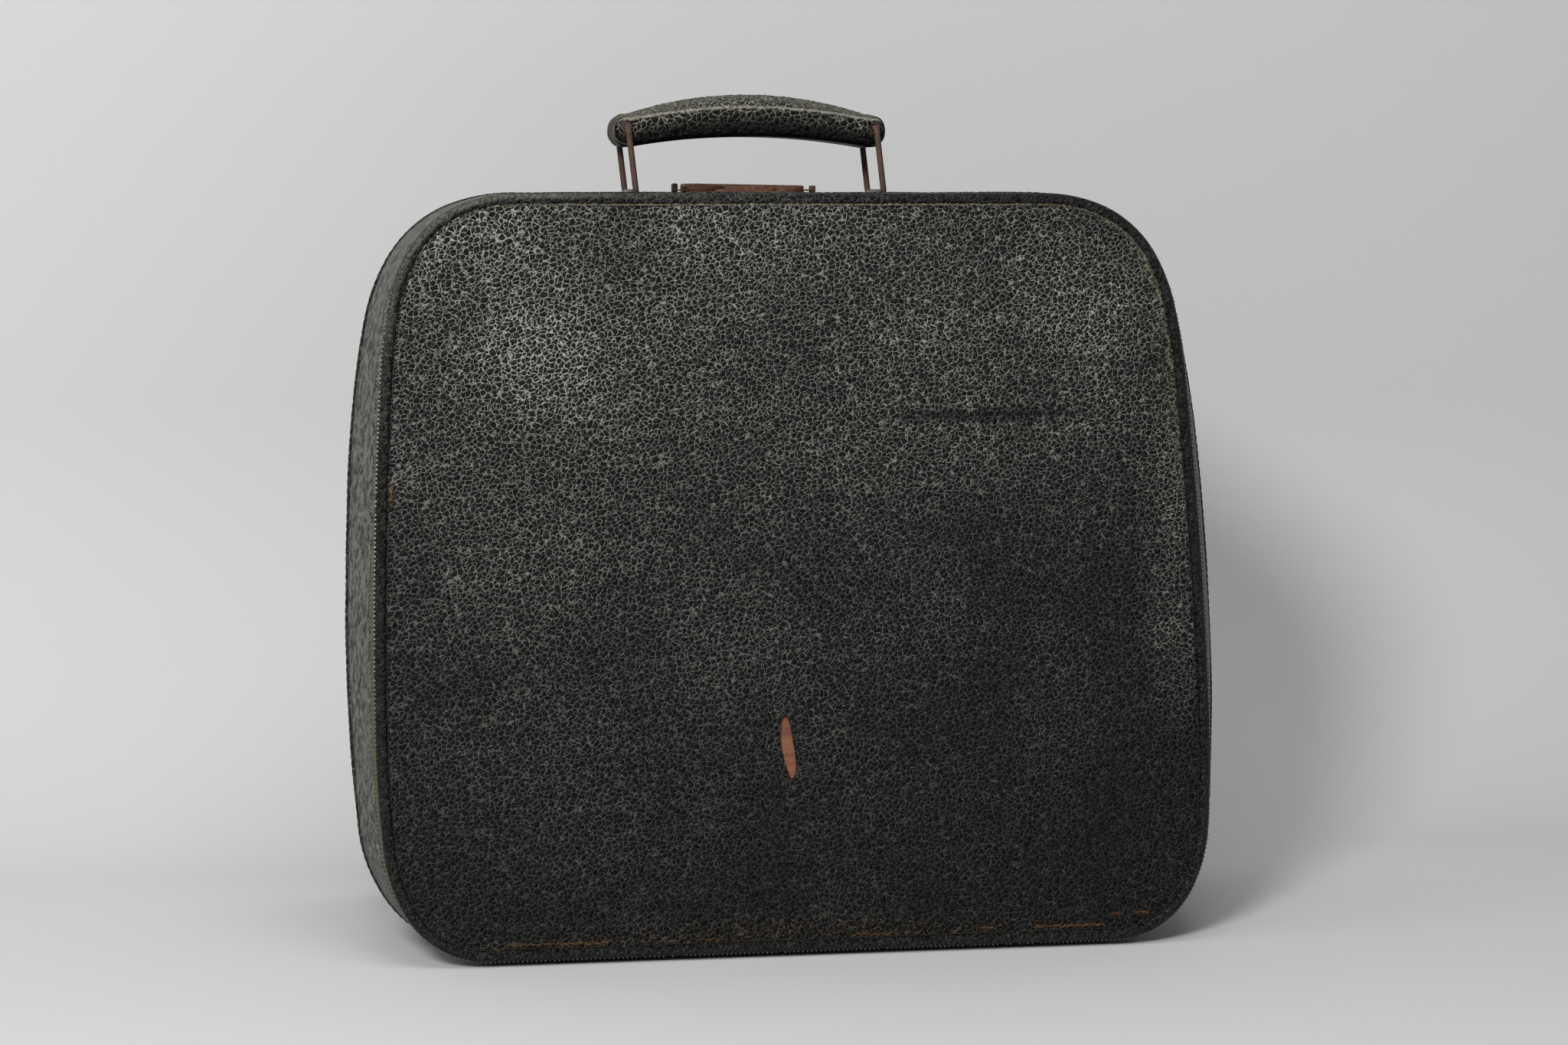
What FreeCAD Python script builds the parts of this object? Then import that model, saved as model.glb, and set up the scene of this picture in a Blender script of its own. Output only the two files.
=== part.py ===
"""Portable typewriter case: a deep wedge-shaped lid hinged at its bottom edge to a shallow base tray.

The case stands on its bottom edge with the handle up. X runs to the right, Y from the leather face
towards the base, Z up. Lengths are millimetres and angles are degrees.
"""
import FreeCAD
import Part
import math
import os

V = FreeCAD.Vector

# Overall sizes of the case
shell_height = 299.3
panel_lean = 9.2
top_depth = 126.0
parting_depth = 92.0
parting_gap = 0.4
panel_width = 336.6
welt_bulge = 17.8
mouth_bulge = 3.0
back_taper = 1.0

# Turns in degrees of the outline from the top flat to the bottom flat, and which of them is the long side
outline_turns = (20.0, 42.0, 17.0, 7.0, 4.0, 5.5, 24.5, 60.0)
long_side_index = 4

# Radii of the outline at the leather face
panel_top_radius = 62.0
panel_corner_radius = 45.0
panel_shoulder_radius = 70.0
panel_upper_side_radius = 220.0
panel_lower_side_radius = 475.0
panel_lower_shoulder_radius = 61.0
panel_lower_corner_radius = 37.0

# Radii of the outline at the welt, where the sides bulge
welt_top_radius = 70.0
welt_corner_radius = 52.0
welt_shoulder_radius = 87.0
welt_upper_side_radius = 420.0
welt_lower_side_radius = 710.0
welt_lower_shoulder_radius = 64.0
welt_lower_corner_radius = 49.0

# Radii of the outline at the mouth, where lid and base meet
mouth_top_radius = 70.0
mouth_corner_radius = 50.0
mouth_shoulder_radius = 82.0
mouth_upper_side_radius = 280.0
mouth_lower_side_radius = 560.0
mouth_lower_shoulder_radius = 62.0
mouth_lower_corner_radius = 40.0

# Radii of the outline at the back, with rounder upper corners
back_top_radius = 74.0
back_corner_radius = 54.0
back_shoulder_radius = 88.0
back_upper_side_radius = 300.0
back_lower_side_radius = 475.0
back_lower_shoulder_radius = 62.0
back_lower_corner_radius = 38.0

# Walls and skins
cover_thickness = 1.2
wall_thickness = 4.0
board_thickness = 5.0
lining_thickness = 0.8
band_depth = 25.8
welt_thickness = 2.4
welt_stand = 0.8
roll_width = 4.6
roll_stand = 0.9
roll_section_shares = ((0.0, 1.0), (0.05, 0.52), (0.22, 0.17), (0.5, 0.0))

# Tear in the leather face
tear_length = 26.5
tear_width = 5.3
tear_tilt = 13.5
tear_offset = -5.5
tear_drop = 222.9

# Wear strips under the case
strip_height = 2.0
strip_width = 12.0
strip_length = 197.0
strip_offset = -3.5
front_strip_setback = 8.5
rear_strip_setback = 6.0
nail_head_radius = 2.4
nail_head_height = 0.8
nail_head_recess = 0.3
nail_radius = 0.9
nail_length = 5.5
nail_spacing = 45.0
nail_count = 5

# Rivets
rivet_radius = 1.1
rivet_head_radius = 2.3
rivet_head_height = 0.7
rivet_clearance = 0.05

# Hinges under the bottom edge
hinge_spacing = 190.0
hinge_length = 42.0
hinge_knuckle_length = 16.0
hinge_knuckle_radius = 1.7
hinge_pin_radius = 0.8
hinge_pin_clearance = 0.05
hinge_end_clearance = 0.3
hinge_leaf_thickness = 1.0
hinge_leaf_width = 15.0
hinge_notch_clearance = 0.4
hinge_rivet_spacing = 14.0
hinge_rivet_inset = 5.0

# Handle
handle_depth_place = 63.5
handle_offset = -1.9
handle_length = 114.0
handle_width = 28.0
handle_hole_spacing = 104.0
handle_hole_height = 27.0
handle_under_hole = 8.0
handle_over_hole = 6.0
handle_cap_radius = 7.0
handle_arch = 4.3
handle_crown = 8.0
handle_crest_rise = 0.6
handle_ridge_drop = 5.0
handle_bottom_round = 3.0
handle_skin = 1.6
handle_lean = 6.8
eyelet_wall = 0.7
eyelet_flange_radius = 2.9
eyelet_flange_thickness = 0.4

# Wire loops and their saddles
wire_radius = 1.25
wire_clearance = 0.06
open_pivot_clearance = 0.35
loop_width = 33.0
loop_bend_radius = 2.4
loop_pivot_height = -0.4
saddle_length = 22.0
saddle_width = 22.0
saddle_plate_thickness = 1.0
saddle_clearance = 0.2
saddle_dome_radius = 2.6
saddle_dome_height = 1.6
saddle_rivet_spacing = 15.0
backing_plate_thickness = 1.0
backing_plate_margin = 3.0
loop_groove_clearance = 0.15
loop_pocket_reach = 5.4
loop_pocket_length = 4.6
loop_pocket_depth = 2.1

# Lock on the base
lock_setback = 1.0
lock_length = 51.6
lock_width = 22.0
lock_corner_radius = 5.0
lock_plate_thickness = 0.8
lock_cap_height = 2.9
lock_cap_wall = 0.6
lock_crown_inset = 1.0
lock_rivet_spacing = 38.0
lock_rivet_setback = 17.0
lock_slot_clearance = 0.3

# Slider of the lock
slider_travel = 2.4
slider_thickness = 0.7
slider_lift = 0.1
slider_setback = 3.0
slider_width = 8.0
slider_lip_height = 1.3
slider_lip_thickness = 1.2
slider_tab_thickness = 2.5
slider_tab_left_gap = 1.3
slider_tab_right_gap = 2.7
slider_left_tab_height = 3.6
slider_right_tab_height = 2.7
slider_tab_length = 10.0

# Strike on the lid with its hooked tongue
strike_length = 34.0
strike_width = 15.0
strike_thickness = 0.9
strike_block_length = 20.0
strike_block_width = 6.0
tongue_lift = 1.9
tongue_thickness = 1.0
tongue_neck_width = 6.0
tongue_head_width = 12.0
tongue_head_length = 1.5
tongue_clearance = 0.3
strike_rivet_spacing = 26.0
strike_rivet_setback = 10.5

# Locating lip of the base
lip_thickness = 2.5
lip_reach = 6.0
lip_seat_depth = 14.0
lip_clearance = 0.5
lip_drop = 175.0

# Fittings inside the base
pad_radius = 11.0
pad_height = 9.0
pad_cup_radius = 7.5
pad_cup_depth = 3.0
pad_spacing_x = 236.0
pad_spacing_z = 172.0
pad_middle_height = 150.0
pad_screw_radius = 1.6
pad_screw_head_radius = 3.2
pad_screw_head_height = 1.6
screw_depth = 5.0
hook_spacing = 150.0
hook_height = 262.0
hook_width = 18.0
hook_foot_length = 16.0
hook_rise = 11.0
hook_reach = 9.0
hook_thickness = 1.6
hook_foot_setback = 6.0
clamp_spacing = 176.0
clamp_height = 62.0
clamp_length = 34.0
clamp_width = 12.0
clamp_thickness = 1.8
clamp_post_radius = 5.0
clamp_post_height = 10.0
clamp_screw_radius = 2.5
clamp_screw_clearance = 0.05
clamp_gap = 0.2
clamp_screw_head_radius = 5.5
clamp_screw_head_height = 1.8

# Extra length of a cutting tool past the face that it cuts
overrun = 4.0

lean = math.radians(panel_lean)
welt_width = panel_width + welt_bulge
mouth_width = panel_width + mouth_bulge
back_width = panel_width - back_taper
panel_height = shell_height / math.cos(lean)
welt_depth = band_depth + welt_thickness
leather_seat = roll_stand + cover_thickness
board_inset = cover_thickness + wall_thickness
inside_inset = board_inset + lining_thickness

roll_crest = roll_width * roll_section_shares[-1][0]
panel_top_y = ((panel_height - roll_crest) * math.sin(lean) - top_depth) / 2
shell_bottom = strip_height
shell_top = shell_bottom + shell_height
parting_y = panel_top_y + parting_depth
back_y = panel_top_y + top_depth
lid_rear_y = parting_y - parting_gap / 2
base_front_y = parting_y + parting_gap / 2
base_board_rear_y = back_y - leather_seat
base_board_front_y = base_board_rear_y - board_thickness
base_deck_y = base_board_front_y - lining_thickness
handle_y = panel_top_y + handle_depth_place


class Outline:
    """Rounded outline of the case across one plane: its width, and its radii without the long side."""

    def __init__(self, width, radii):
        self.width = width
        self.radii = tuple(radii)

    def mixed(self, other, share):
        """Outline part of the way to another one."""
        width = self.width + (other.width - self.width) * share
        radii = [one + (two - one) * share for one, two in zip(self.radii, other.radii)]
        return Outline(width, radii)

    def all_radii(self, height, inset):
        """Every radius less the inset, in order, with the long side's worked out from the height."""
        falls = turn_falls()
        radii = [radius - inset for radius in self.radii]
        radii.insert(long_side_index, 0.0)
        fallen = sum(radius * fall for radius, fall in zip(radii, falls))
        radii[long_side_index] = (height - fallen) / falls[long_side_index]
        return radii


panel_outline = Outline(panel_width, (
    panel_top_radius, panel_corner_radius, panel_shoulder_radius, panel_upper_side_radius,
    panel_lower_side_radius, panel_lower_shoulder_radius, panel_lower_corner_radius))
welt_outline = Outline(welt_width, (
    welt_top_radius, welt_corner_radius, welt_shoulder_radius, welt_upper_side_radius,
    welt_lower_side_radius, welt_lower_shoulder_radius, welt_lower_corner_radius))
mouth_outline = Outline(mouth_width, (
    mouth_top_radius, mouth_corner_radius, mouth_shoulder_radius, mouth_upper_side_radius,
    mouth_lower_side_radius, mouth_lower_shoulder_radius, mouth_lower_corner_radius))
back_outline = Outline(back_width, (
    back_top_radius, back_corner_radius, back_shoulder_radius, back_upper_side_radius,
    back_lower_side_radius, back_lower_shoulder_radius, back_lower_corner_radius))


def turn_angles():
    """Direction of the outline at the start of each turn and after the last one."""
    angles = [0.0]
    for turn in outline_turns:
        angles.append(angles[-1] + math.radians(turn))
    return angles


def turn_falls():
    """Drop of each turn for a radius of one."""
    angles = turn_angles()
    return [math.cos(one) - math.cos(two) for one, two in zip(angles, angles[1:])]


def turn_runs():
    """Sideways run of each turn for a radius of one."""
    angles = turn_angles()
    return [math.sin(two) - math.sin(one) for one, two in zip(angles, angles[1:])]


class Station:
    """One plane across the case with the outline there."""

    def __init__(self, outline, height, y, slope):
        self.outline = outline
        self.height = height
        self.y = y
        self.slope = slope

    def point(self, x, drop):
        """Point of the plane at x, and this far down it from the top edge."""
        return V(x, self.y - drop * math.sin(self.slope), shell_top - drop * math.cos(self.slope))

    def wire(self, inset):
        """Closed outline, drawn in by the inset: upright at the flats, and in the plane at the sides."""
        drop = inset / math.cos(self.slope)
        radii = self.outline.all_radii(self.height - 2 * drop, inset)
        angles = turn_angles()
        runs = turn_runs()
        widest = sum(radius * run for radius, run in zip(radii[:long_side_index + 1], runs))
        x = self.outline.width / 2 - inset - widest
        right = []
        for radius, start, end in zip(radii, angles, angles[1:]):
            middle = (start + end) / 2
            first = (x, drop)
            half = (x + radius * (math.sin(middle) - math.sin(start)),
                    drop + radius * (math.cos(start) - math.cos(middle)))
            x += radius * (math.sin(end) - math.sin(start))
            drop += radius * (math.cos(start) - math.cos(end))
            right.append((first, half, (x, drop)))
        left = [tuple((-px, pd) for px, pd in reversed(arc)) for arc in reversed(right)]
        edges = [self.line(left[-1][2], right[0][0])]
        edges += [self.arc(*arc) for arc in right]
        edges.append(self.line(right[-1][2], left[0][0]))
        edges += [self.arc(*arc) for arc in left]
        return Part.Wire(edges)

    def line(self, first, last):
        """Straight edge between two places on the plane."""
        return Part.LineSegment(self.point(*first), self.point(*last)).toShape()

    def arc(self, first, half, last):
        """Round edge through three places on the plane."""
        return Part.Arc(self.point(*first), self.point(*half), self.point(*last)).toShape()


def lid_station(depth):
    """Plane parallel to the leather face, this far behind it."""
    outline = panel_outline.mixed(welt_outline, min(depth / band_depth, 1))
    return Station(outline, panel_height, panel_top_y + depth, lean)


def base_station(y):
    """Upright plane across the base."""
    share = (y - base_front_y) / (back_y - base_front_y)
    return Station(mouth_outline.mixed(back_outline, share), shell_height, y, 0.0)


def lip_tip():
    """Upright plane at the front of the locating lip, no wider there than the mouth or the lid's wall."""
    share = lip_reach / (lid_rear_y - lid_station(welt_depth).y)
    outline = mouth_outline.mixed(welt_outline, share)
    outline.width = min(outline.width, mouth_outline.width)
    return Station(outline, shell_height, base_front_y - lip_reach, 0.0)


def lid_mouth():
    """Upright plane at the rear edge of the lid."""
    return Station(mouth_outline, shell_height, lid_rear_y, 0.0)


def flattened(solid):
    """Solid whose flat four-cornered ruled faces are made plain planes."""
    faces = []
    for face in solid.Faces:
        corners = [vertex.Point for vertex in face.OuterWire.OrderedVertexes]
        if len(corners) == 4 and face.Surface.isPlanar():
            faces.append(Part.Face(Part.makePolygon(corners + corners[:1])))
        else:
            faces.append(face)
    return Part.Solid(Part.Shell(faces))


def filled(stations, inset):
    """Solid that fills a run of stations, drawn in by the inset."""
    return flattened(Part.makeLoft([station.wire(inset) for station in stations], True, True))


def ring(stations, outer_inset, inner_inset):
    """Wall between two insets of a run of stations."""
    return filled(stations, outer_inset).cut(filled(stations, inner_inset))


def box(x_range, y_range, z_range):
    """Block between two values on each axis."""
    low = V(x_range[0], y_range[0], z_range[0])
    return Part.makeBox(x_range[1] - x_range[0], y_range[1] - y_range[0], z_range[1] - z_range[0], low)


def across(middle, length):
    """Two ends of a length centred on a middle."""
    return (middle - length / 2, middle + length / 2)


def rod(start, direction, radius, length):
    """Round rod from a point along a direction."""
    return Part.makeCylinder(radius, length, start, direction)


def joined(shapes):
    """One solid from shapes that meet."""
    result = shapes[0]
    for shape in shapes[1:]:
        result = result.fuse(shape)
    return result.removeSplitter()


def without(shape, cutters):
    """Shape less all the cutters."""
    return shape.cut(tuple(cutters))


def pan_rivet(place, direction, length):
    """Rivet whose domed head stands at the place and whose shank runs along the direction."""
    away = direction * -1
    shank = rod(place, direction, rivet_radius, length)
    head = Part.makeCone(rivet_head_radius, rivet_radius, rivet_head_height, place, away)
    return joined([shank, head])


def rivet_hole(place, direction, length):
    """Clear hole for a rivet's shank, open past both ends."""
    start = place - direction * overrun
    return rod(start, direction, rivet_radius + rivet_clearance, length + 2 * overrun)


DOWN = V(0, 0, -1)
UP = V(0, 0, 1)
REAR = V(0, 1, 0)
FRONT = V(0, -1, 0)


def spread(count, spacing, middle):
    """Evenly spaced values about a middle."""
    return [middle + (index - (count - 1) / 2) * spacing for index in range(count)]


hinge_places = spread(2, hinge_spacing, 0.0)
hinge_left, hinge_right = hinge_places
leaf_low = shell_bottom - hinge_leaf_thickness
leaf_start = hinge_knuckle_radius + hinge_end_clearance


def hinge_rivet_places(middle, side):
    """Where the rivets of one leaf go through the case, with side -1 on the lid and 1 on the base."""
    y = parting_y + side * (hinge_leaf_width - hinge_rivet_inset)
    return [V(x, y, leaf_low) for x in spread(3, hinge_rivet_spacing, middle)]


hinge_rivet_length = hinge_leaf_thickness + board_inset
lid_hinge_rivets = [place for middle in hinge_places for place in hinge_rivet_places(middle, -1)]
base_hinge_rivets = [place for middle in hinge_places for place in hinge_rivet_places(middle, 1)]

loop_lean = math.radians(handle_lean)
loop_span = (handle_hole_height - loop_pivot_height) / math.cos(loop_lean)
loop_shift = -loop_span * math.sin(loop_lean)
hole_steps = spread(2, handle_hole_spacing, 0.0)
loop_places = spread(2, handle_hole_spacing, handle_offset)
saddle_seat = shell_top - cover_thickness
saddle_rivet_top = saddle_seat + saddle_plate_thickness
backing_plate_top = shell_top - inside_inset
saddle_rivet_places = [V(x + side * saddle_rivet_spacing / 2, handle_y, saddle_rivet_top)
                       for x in loop_places for side in (-1, 1)]
saddle_rivet_length = saddle_rivet_top - backing_plate_top + backing_plate_thickness

strike_rear_y = lid_rear_y
strike_rivet_places = [V(x, strike_rear_y - strike_rivet_setback, shell_top + strike_thickness)
                       for x in spread(2, strike_rivet_spacing, 0.0)]
strike_rivet_length = strike_thickness + board_inset

lock_front_y = base_front_y + lock_setback
lock_base_z = shell_top + lock_plate_thickness
lock_top_z = lock_base_z + lock_cap_height
lock_rivet_places = [V(x, lock_front_y + lock_rivet_setback, lock_top_z)
                     for x in spread(2, lock_rivet_spacing, 0.0)]
lock_rivet_length = lock_cap_height + lock_plate_thickness + board_inset

front_strip_y = (panel_top_y - panel_height * math.sin(lean) + front_strip_setback,
                 panel_top_y - panel_height * math.sin(lean) + front_strip_setback + strip_width)
rear_strip_y = (back_y - rear_strip_setback - strip_width, back_y - rear_strip_setback)


def nail_places(strip_y):
    """Head seats of the nails in one wear strip."""
    middle_y = (strip_y[0] + strip_y[1]) / 2
    return [V(x, middle_y, nail_head_recess) for x in spread(nail_count, nail_spacing, strip_offset)]


def nail(place, clearance):
    """Flat-headed nail driven upwards, or with a clearance the hole that it needs."""
    head = rod(place, UP, nail_head_radius + clearance, nail_head_height)
    shank = rod(place, UP, nail_radius + clearance, nail_head_height + nail_length)
    return joined([head, shank])


def hinge_notch(middle):
    """Room for the knuckles of one hinge in the edge of both halves."""
    reach = hinge_knuckle_radius + hinge_notch_clearance
    return box(across(middle, hinge_length + 2 * hinge_notch_clearance),
               (parting_y - reach, parting_y + reach),
               (shell_bottom - overrun, shell_bottom + reach))


def loop_recess(x):
    """Room for the foot of one wire loop in the top of the lid, with a pocket for each leg to swing in."""
    recess = [rod(V(x, handle_y - loop_width / 2, shell_top + loop_pivot_height), REAR,
                  wire_radius + loop_groove_clearance, loop_width)]
    for side in (-1, 1):
        pocket_y = across(handle_y + side * (loop_width / 2 - wire_radius / 2), loop_pocket_length)
        recess.append(box(across(x, 2 * loop_pocket_reach), pocket_y,
                          (shell_top - loop_pocket_depth, shell_top + overrun)))
    return recess


def saddle_opening(x):
    """Opening in the lid's leather that one saddle sits in."""
    return box(across(x, saddle_width + 2 * saddle_clearance),
               across(handle_y, saddle_length + 2 * saddle_clearance),
               (saddle_seat - overrun, shell_top + overrun))


def lid_top_holes():
    """Holes through the top of the lid for the saddles and the strike."""
    holes = [rivet_hole(place, DOWN, saddle_rivet_length) for place in saddle_rivet_places]
    return holes + [rivet_hole(place, DOWN, strike_rivet_length) for place in strike_rivet_places]


def lid_bottom_holes():
    """Holes in the bottom of the lid for the hinges, the knuckles and the wear strip's nails."""
    holes = [rivet_hole(place, UP, hinge_rivet_length) for place in lid_hinge_rivets]
    holes += [hinge_notch(middle) for middle in hinge_places]
    return holes + [nail(place, rivet_clearance) for place in nail_places(front_strip_y)]


def base_bottom_holes():
    """Holes in the bottom of the base for the hinges, the knuckles and the wear strip's nails."""
    holes = [rivet_hole(place, UP, hinge_rivet_length) for place in base_hinge_rivets]
    holes += [hinge_notch(middle) for middle in hinge_places]
    return holes + [nail(place, rivet_clearance) for place in nail_places(rear_strip_y)]


def base_top_holes():
    """Holes in the top of the base for the lock's rivets."""
    return [rivet_hole(place, DOWN, lock_rivet_length) for place in lock_rivet_places]


front_board_rear = leather_seat + board_thickness
front_lining_rear = front_board_rear + lining_thickness


def lid_wall_stations(first_depth):
    """Stations of the lid's wall from a depth behind the face to the mouth."""
    return [lid_station(first_depth), lid_station(band_depth), lid_station(welt_depth), lid_mouth()]


def lid_frame():
    """Bent plywood wall of the lid."""
    wall = ring(lid_wall_stations(leather_seat), cover_thickness, board_inset)
    recesses = [cutter for x in loop_places for cutter in loop_recess(x)]
    return without(wall, lid_top_holes() + lid_bottom_holes() + recesses)


def lid_front_board():
    """Plywood board under the leather face."""
    return filled([lid_station(leather_seat), lid_station(front_board_rear)], board_inset)


def lid_front_cover():
    """Leather of the face, with a tear that shows the board."""
    sheet = filled([lid_station(roll_stand), lid_station(leather_seat)], roll_width)
    face = lid_station(0.0)
    half_length = tear_length / 2
    half_width = tear_width / 2
    tilt = math.radians(tear_tilt)
    along = (math.sin(tilt), math.cos(tilt))
    side = (math.cos(tilt), -math.sin(tilt))
    ends = [(tear_offset + sign * half_length * along[0], tear_drop + sign * half_length * along[1])
            for sign in (-1, 1)]
    bulges = [(tear_offset + sign * half_width * side[0], tear_drop + sign * half_width * side[1])
              for sign in (-1, 1)]
    rim = Part.Wire([face.arc(ends[0], bulges[0], ends[1]), face.arc(ends[1], bulges[1], ends[0])])
    tear = Part.Face(rim).extrude(V(0, leather_seat, 0))
    return sheet.cut(tear)


def lid_front_roll():
    """Rolled leather edge round the face."""
    wires = [lid_station(leather_seat * depth).wire(roll_width * inset)
             for inset, depth in roll_section_shares]
    body = Part.makeLoft(wires, True, True)
    return body.cut(filled([lid_station(0.0), lid_station(leather_seat)], roll_width))


def lid_band_cover():
    """Fine-grained leather band between the rolled edge and the welt."""
    band = ring([lid_station(leather_seat), lid_station(band_depth)], 0.0, cover_thickness)
    return without(band, [nail(place, rivet_clearance) for place in nail_places(front_strip_y)])


def lid_welt():
    """Sewn welt that stands round the widest line of the lid."""
    return ring([lid_station(band_depth), lid_station(welt_depth)], -welt_stand, cover_thickness)


def lid_wall_cover():
    """Leather of the lid's wall between the welt and the mouth."""
    cover = ring([lid_station(welt_depth), lid_mouth()], 0.0, cover_thickness)
    recesses = [cutter for x in loop_places for cutter in loop_recess(x) + [saddle_opening(x)]]
    return without(cover, lid_top_holes() + lid_bottom_holes() + recesses)


def lid_front_lining():
    """Cloth over the inside of the front board."""
    return filled([lid_station(front_board_rear), lid_station(front_lining_rear)], board_inset)


def lid_wall_lining():
    """Cloth over the inside of the lid's wall."""
    lining = ring(lid_wall_stations(front_lining_rear), board_inset, inside_inset)
    return without(lining, lid_top_holes())


def wear_strip(strip_y):
    """Hard strip that the case stands on."""
    strip = box(across(strip_offset, strip_length), strip_y, (0.0, strip_height))
    return without(strip, [nail(place, rivet_clearance) for place in nail_places(strip_y)]
                   + [rod(V(place.x, place.y, 0.0), UP, nail_head_radius, nail_head_recess)
                      for place in nail_places(strip_y)])


def strip_nails(strip_y):
    """Nails of one wear strip."""
    return Part.Compound([nail(place, 0.0) for place in nail_places(strip_y)])


def hinge_leaf(middle, side):
    """Leaf of one hinge with its knuckles, side -1 on the lid and 1 on the base."""
    knuckles = across(middle, hinge_knuckle_length)
    ends = across(middle, hinge_length)
    far = parting_y + side * hinge_leaf_width
    near = parting_y + side * leaf_start
    plate = box(ends, sorted((near, far)), (leaf_low, shell_bottom))
    if side < 0:
        spans = [(knuckles[0] + hinge_end_clearance / 2, knuckles[1] - hinge_end_clearance / 2)]
    else:
        spans = [(ends[0], knuckles[0] - hinge_end_clearance / 2),
                 (knuckles[1] + hinge_end_clearance / 2, ends[1])]
    pieces = [plate]
    for low, high in spans:
        pieces.append(box((low, high), sorted((parting_y, near)), (leaf_low, shell_bottom)))
        pieces.append(rod(V(low, parting_y, shell_bottom), V(1, 0, 0), hinge_knuckle_radius, high - low))
    bore = rod(V(ends[0] - overrun, parting_y, shell_bottom), V(1, 0, 0),
               hinge_pin_radius + hinge_pin_clearance, hinge_length + 2 * overrun)
    holes = [rivet_hole(place, UP, hinge_leaf_thickness) for place in hinge_rivet_places(middle, side)]
    return without(joined(pieces), [bore] + holes)


def hinge_pin(middle):
    """Pin through the knuckles of one hinge."""
    ends = across(middle, hinge_length)
    return rod(V(ends[0], parting_y, shell_bottom), V(1, 0, 0), hinge_pin_radius, hinge_length)


def rivets(places, direction, length):
    """Group of like rivets."""
    return Part.Compound([pan_rivet(place, direction, length) for place in places])


def saddle(x):
    """Domed saddle, set into the leather, that holds the foot of one wire loop on the lid."""
    y_range = across(handle_y, saddle_length)
    plate = box(across(x, saddle_width), y_range, (saddle_seat, saddle_rivet_top))
    dome_middle = V(x, y_range[0], shell_top + saddle_dome_height - saddle_dome_radius)
    dome = rod(dome_middle, REAR, saddle_dome_radius, saddle_length)
    above = box(across(x, saddle_width), y_range, (saddle_seat, shell_top + saddle_width))
    bore = rod(V(x, y_range[0] - overrun, shell_top + loop_pivot_height), REAR,
               wire_radius + wire_clearance, saddle_length + 2 * overrun)
    holes = [rivet_hole(place, DOWN, saddle_plate_thickness) for place in saddle_rivet_places]
    return without(joined([plate, dome.common(above)]), [bore] + holes)


def backing_plate(x):
    """Steel plate inside the lid that the saddle's rivets are closed on."""
    plate = box(across(x, saddle_width + 2 * backing_plate_margin),
                across(handle_y, saddle_length + 2 * backing_plate_margin),
                (backing_plate_top - backing_plate_thickness, backing_plate_top))
    return without(plate, [rivet_hole(place, DOWN, saddle_rivet_length) for place in saddle_rivet_places])


def wire_loop(x):
    """Closed loop of round wire through a saddle and an end of the handle."""
    foot = V(x, handle_y, shell_top + loop_pivot_height)
    rise = V(-math.sin(loop_lean), 0, math.cos(loop_lean))
    half_width = loop_width / 2
    half_height = loop_span / 2
    bend = loop_bend_radius
    slant = bend * (1 - math.sqrt(0.5))

    def place(along, up):
        """Point of the loop's middle line, from the middle of the loop."""
        return foot + rise * (half_height + up) + REAR * along

    bends = []
    for side, level in ((1, -1), (1, 1), (-1, 1), (-1, -1)):
        flat_end = place(side * (half_width - bend), level * half_height)
        upright_end = place(side * half_width, level * (half_height - bend))
        middle = place(side * (half_width - slant), level * (half_height - slant))
        rising = side * level < 0
        bends.append((flat_end, middle, upright_end) if rising else (upright_end, middle, flat_end))
    edges = []
    for before, bend_points in zip(bends[-1:] + bends[:-1], bends):
        edges.append(Part.LineSegment(before[2], bend_points[0]).toShape())
        edges.append(Part.Arc(*bend_points).toShape())
    section = Part.Wire([Part.makeCircle(wire_radius, bends[-1][2], REAR)])
    return Part.Wire(edges).makePipeShell([section], True, False)


handle_middle = V(handle_offset + loop_shift, handle_y, shell_top + handle_hole_height)


def handle_form(skin):
    """Bread-loaf form of the handle, drawn in by a skin."""
    cap = handle_cap_radius
    cap_x = handle_length / 2 - cap
    low = -handle_under_hole + skin
    high = handle_over_hole - skin
    cap_z = (low + high) / 2

    def place(x, z):
        """Point on the front face of the handle."""
        return handle_middle + V(x, -handle_width / 2, z)

    edges = [
        Part.Arc(place(-cap_x, low), place(0.0, low + handle_arch), place(cap_x, low)),
        Part.Arc(place(cap_x, low), place(cap_x + cap - skin, cap_z), place(cap_x, high)),
        Part.Arc(place(cap_x, high), place(0.0, high + handle_crown), place(-cap_x, high)),
        Part.Arc(place(-cap_x, high), place(-cap_x - cap + skin, cap_z), place(-cap_x, low)),
    ]
    side_view = Part.Face(Part.Wire([edge.toShape() for edge in edges]))
    bar = side_view.extrude(V(0, handle_width, 0))
    half_width = handle_width / 2 - skin
    apex = handle_over_hole + handle_crown - skin
    crest = apex + handle_crest_rise
    ridge = apex - handle_ridge_drop
    corner = handle_bottom_round
    slant = corner * (1 - math.sqrt(0.5))

    def section_place(y, z):
        """Point of the handle's cross-section."""
        return handle_middle + V(-handle_length, y, z)

    loaf_edges = [
        Part.LineSegment(section_place(-half_width + corner, low), section_place(half_width - corner, low)),
        Part.Arc(section_place(half_width - corner, low), section_place(half_width - slant, low + slant),
                 section_place(half_width, low + corner)),
        Part.LineSegment(section_place(half_width, low + corner), section_place(half_width, ridge)),
        Part.Arc(section_place(half_width, ridge), section_place(0.0, crest),
                 section_place(-half_width, ridge)),
        Part.LineSegment(section_place(-half_width, ridge), section_place(-half_width, low + corner)),
        Part.Arc(section_place(-half_width, low + corner), section_place(-half_width + slant, low + slant),
                 section_place(-half_width + corner, low)),
    ]
    loaf = Part.Face(Part.Wire([edge.toShape() for edge in loaf_edges]))
    return bar.common(loaf.extrude(V(2 * handle_length, 0, 0)))


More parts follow.
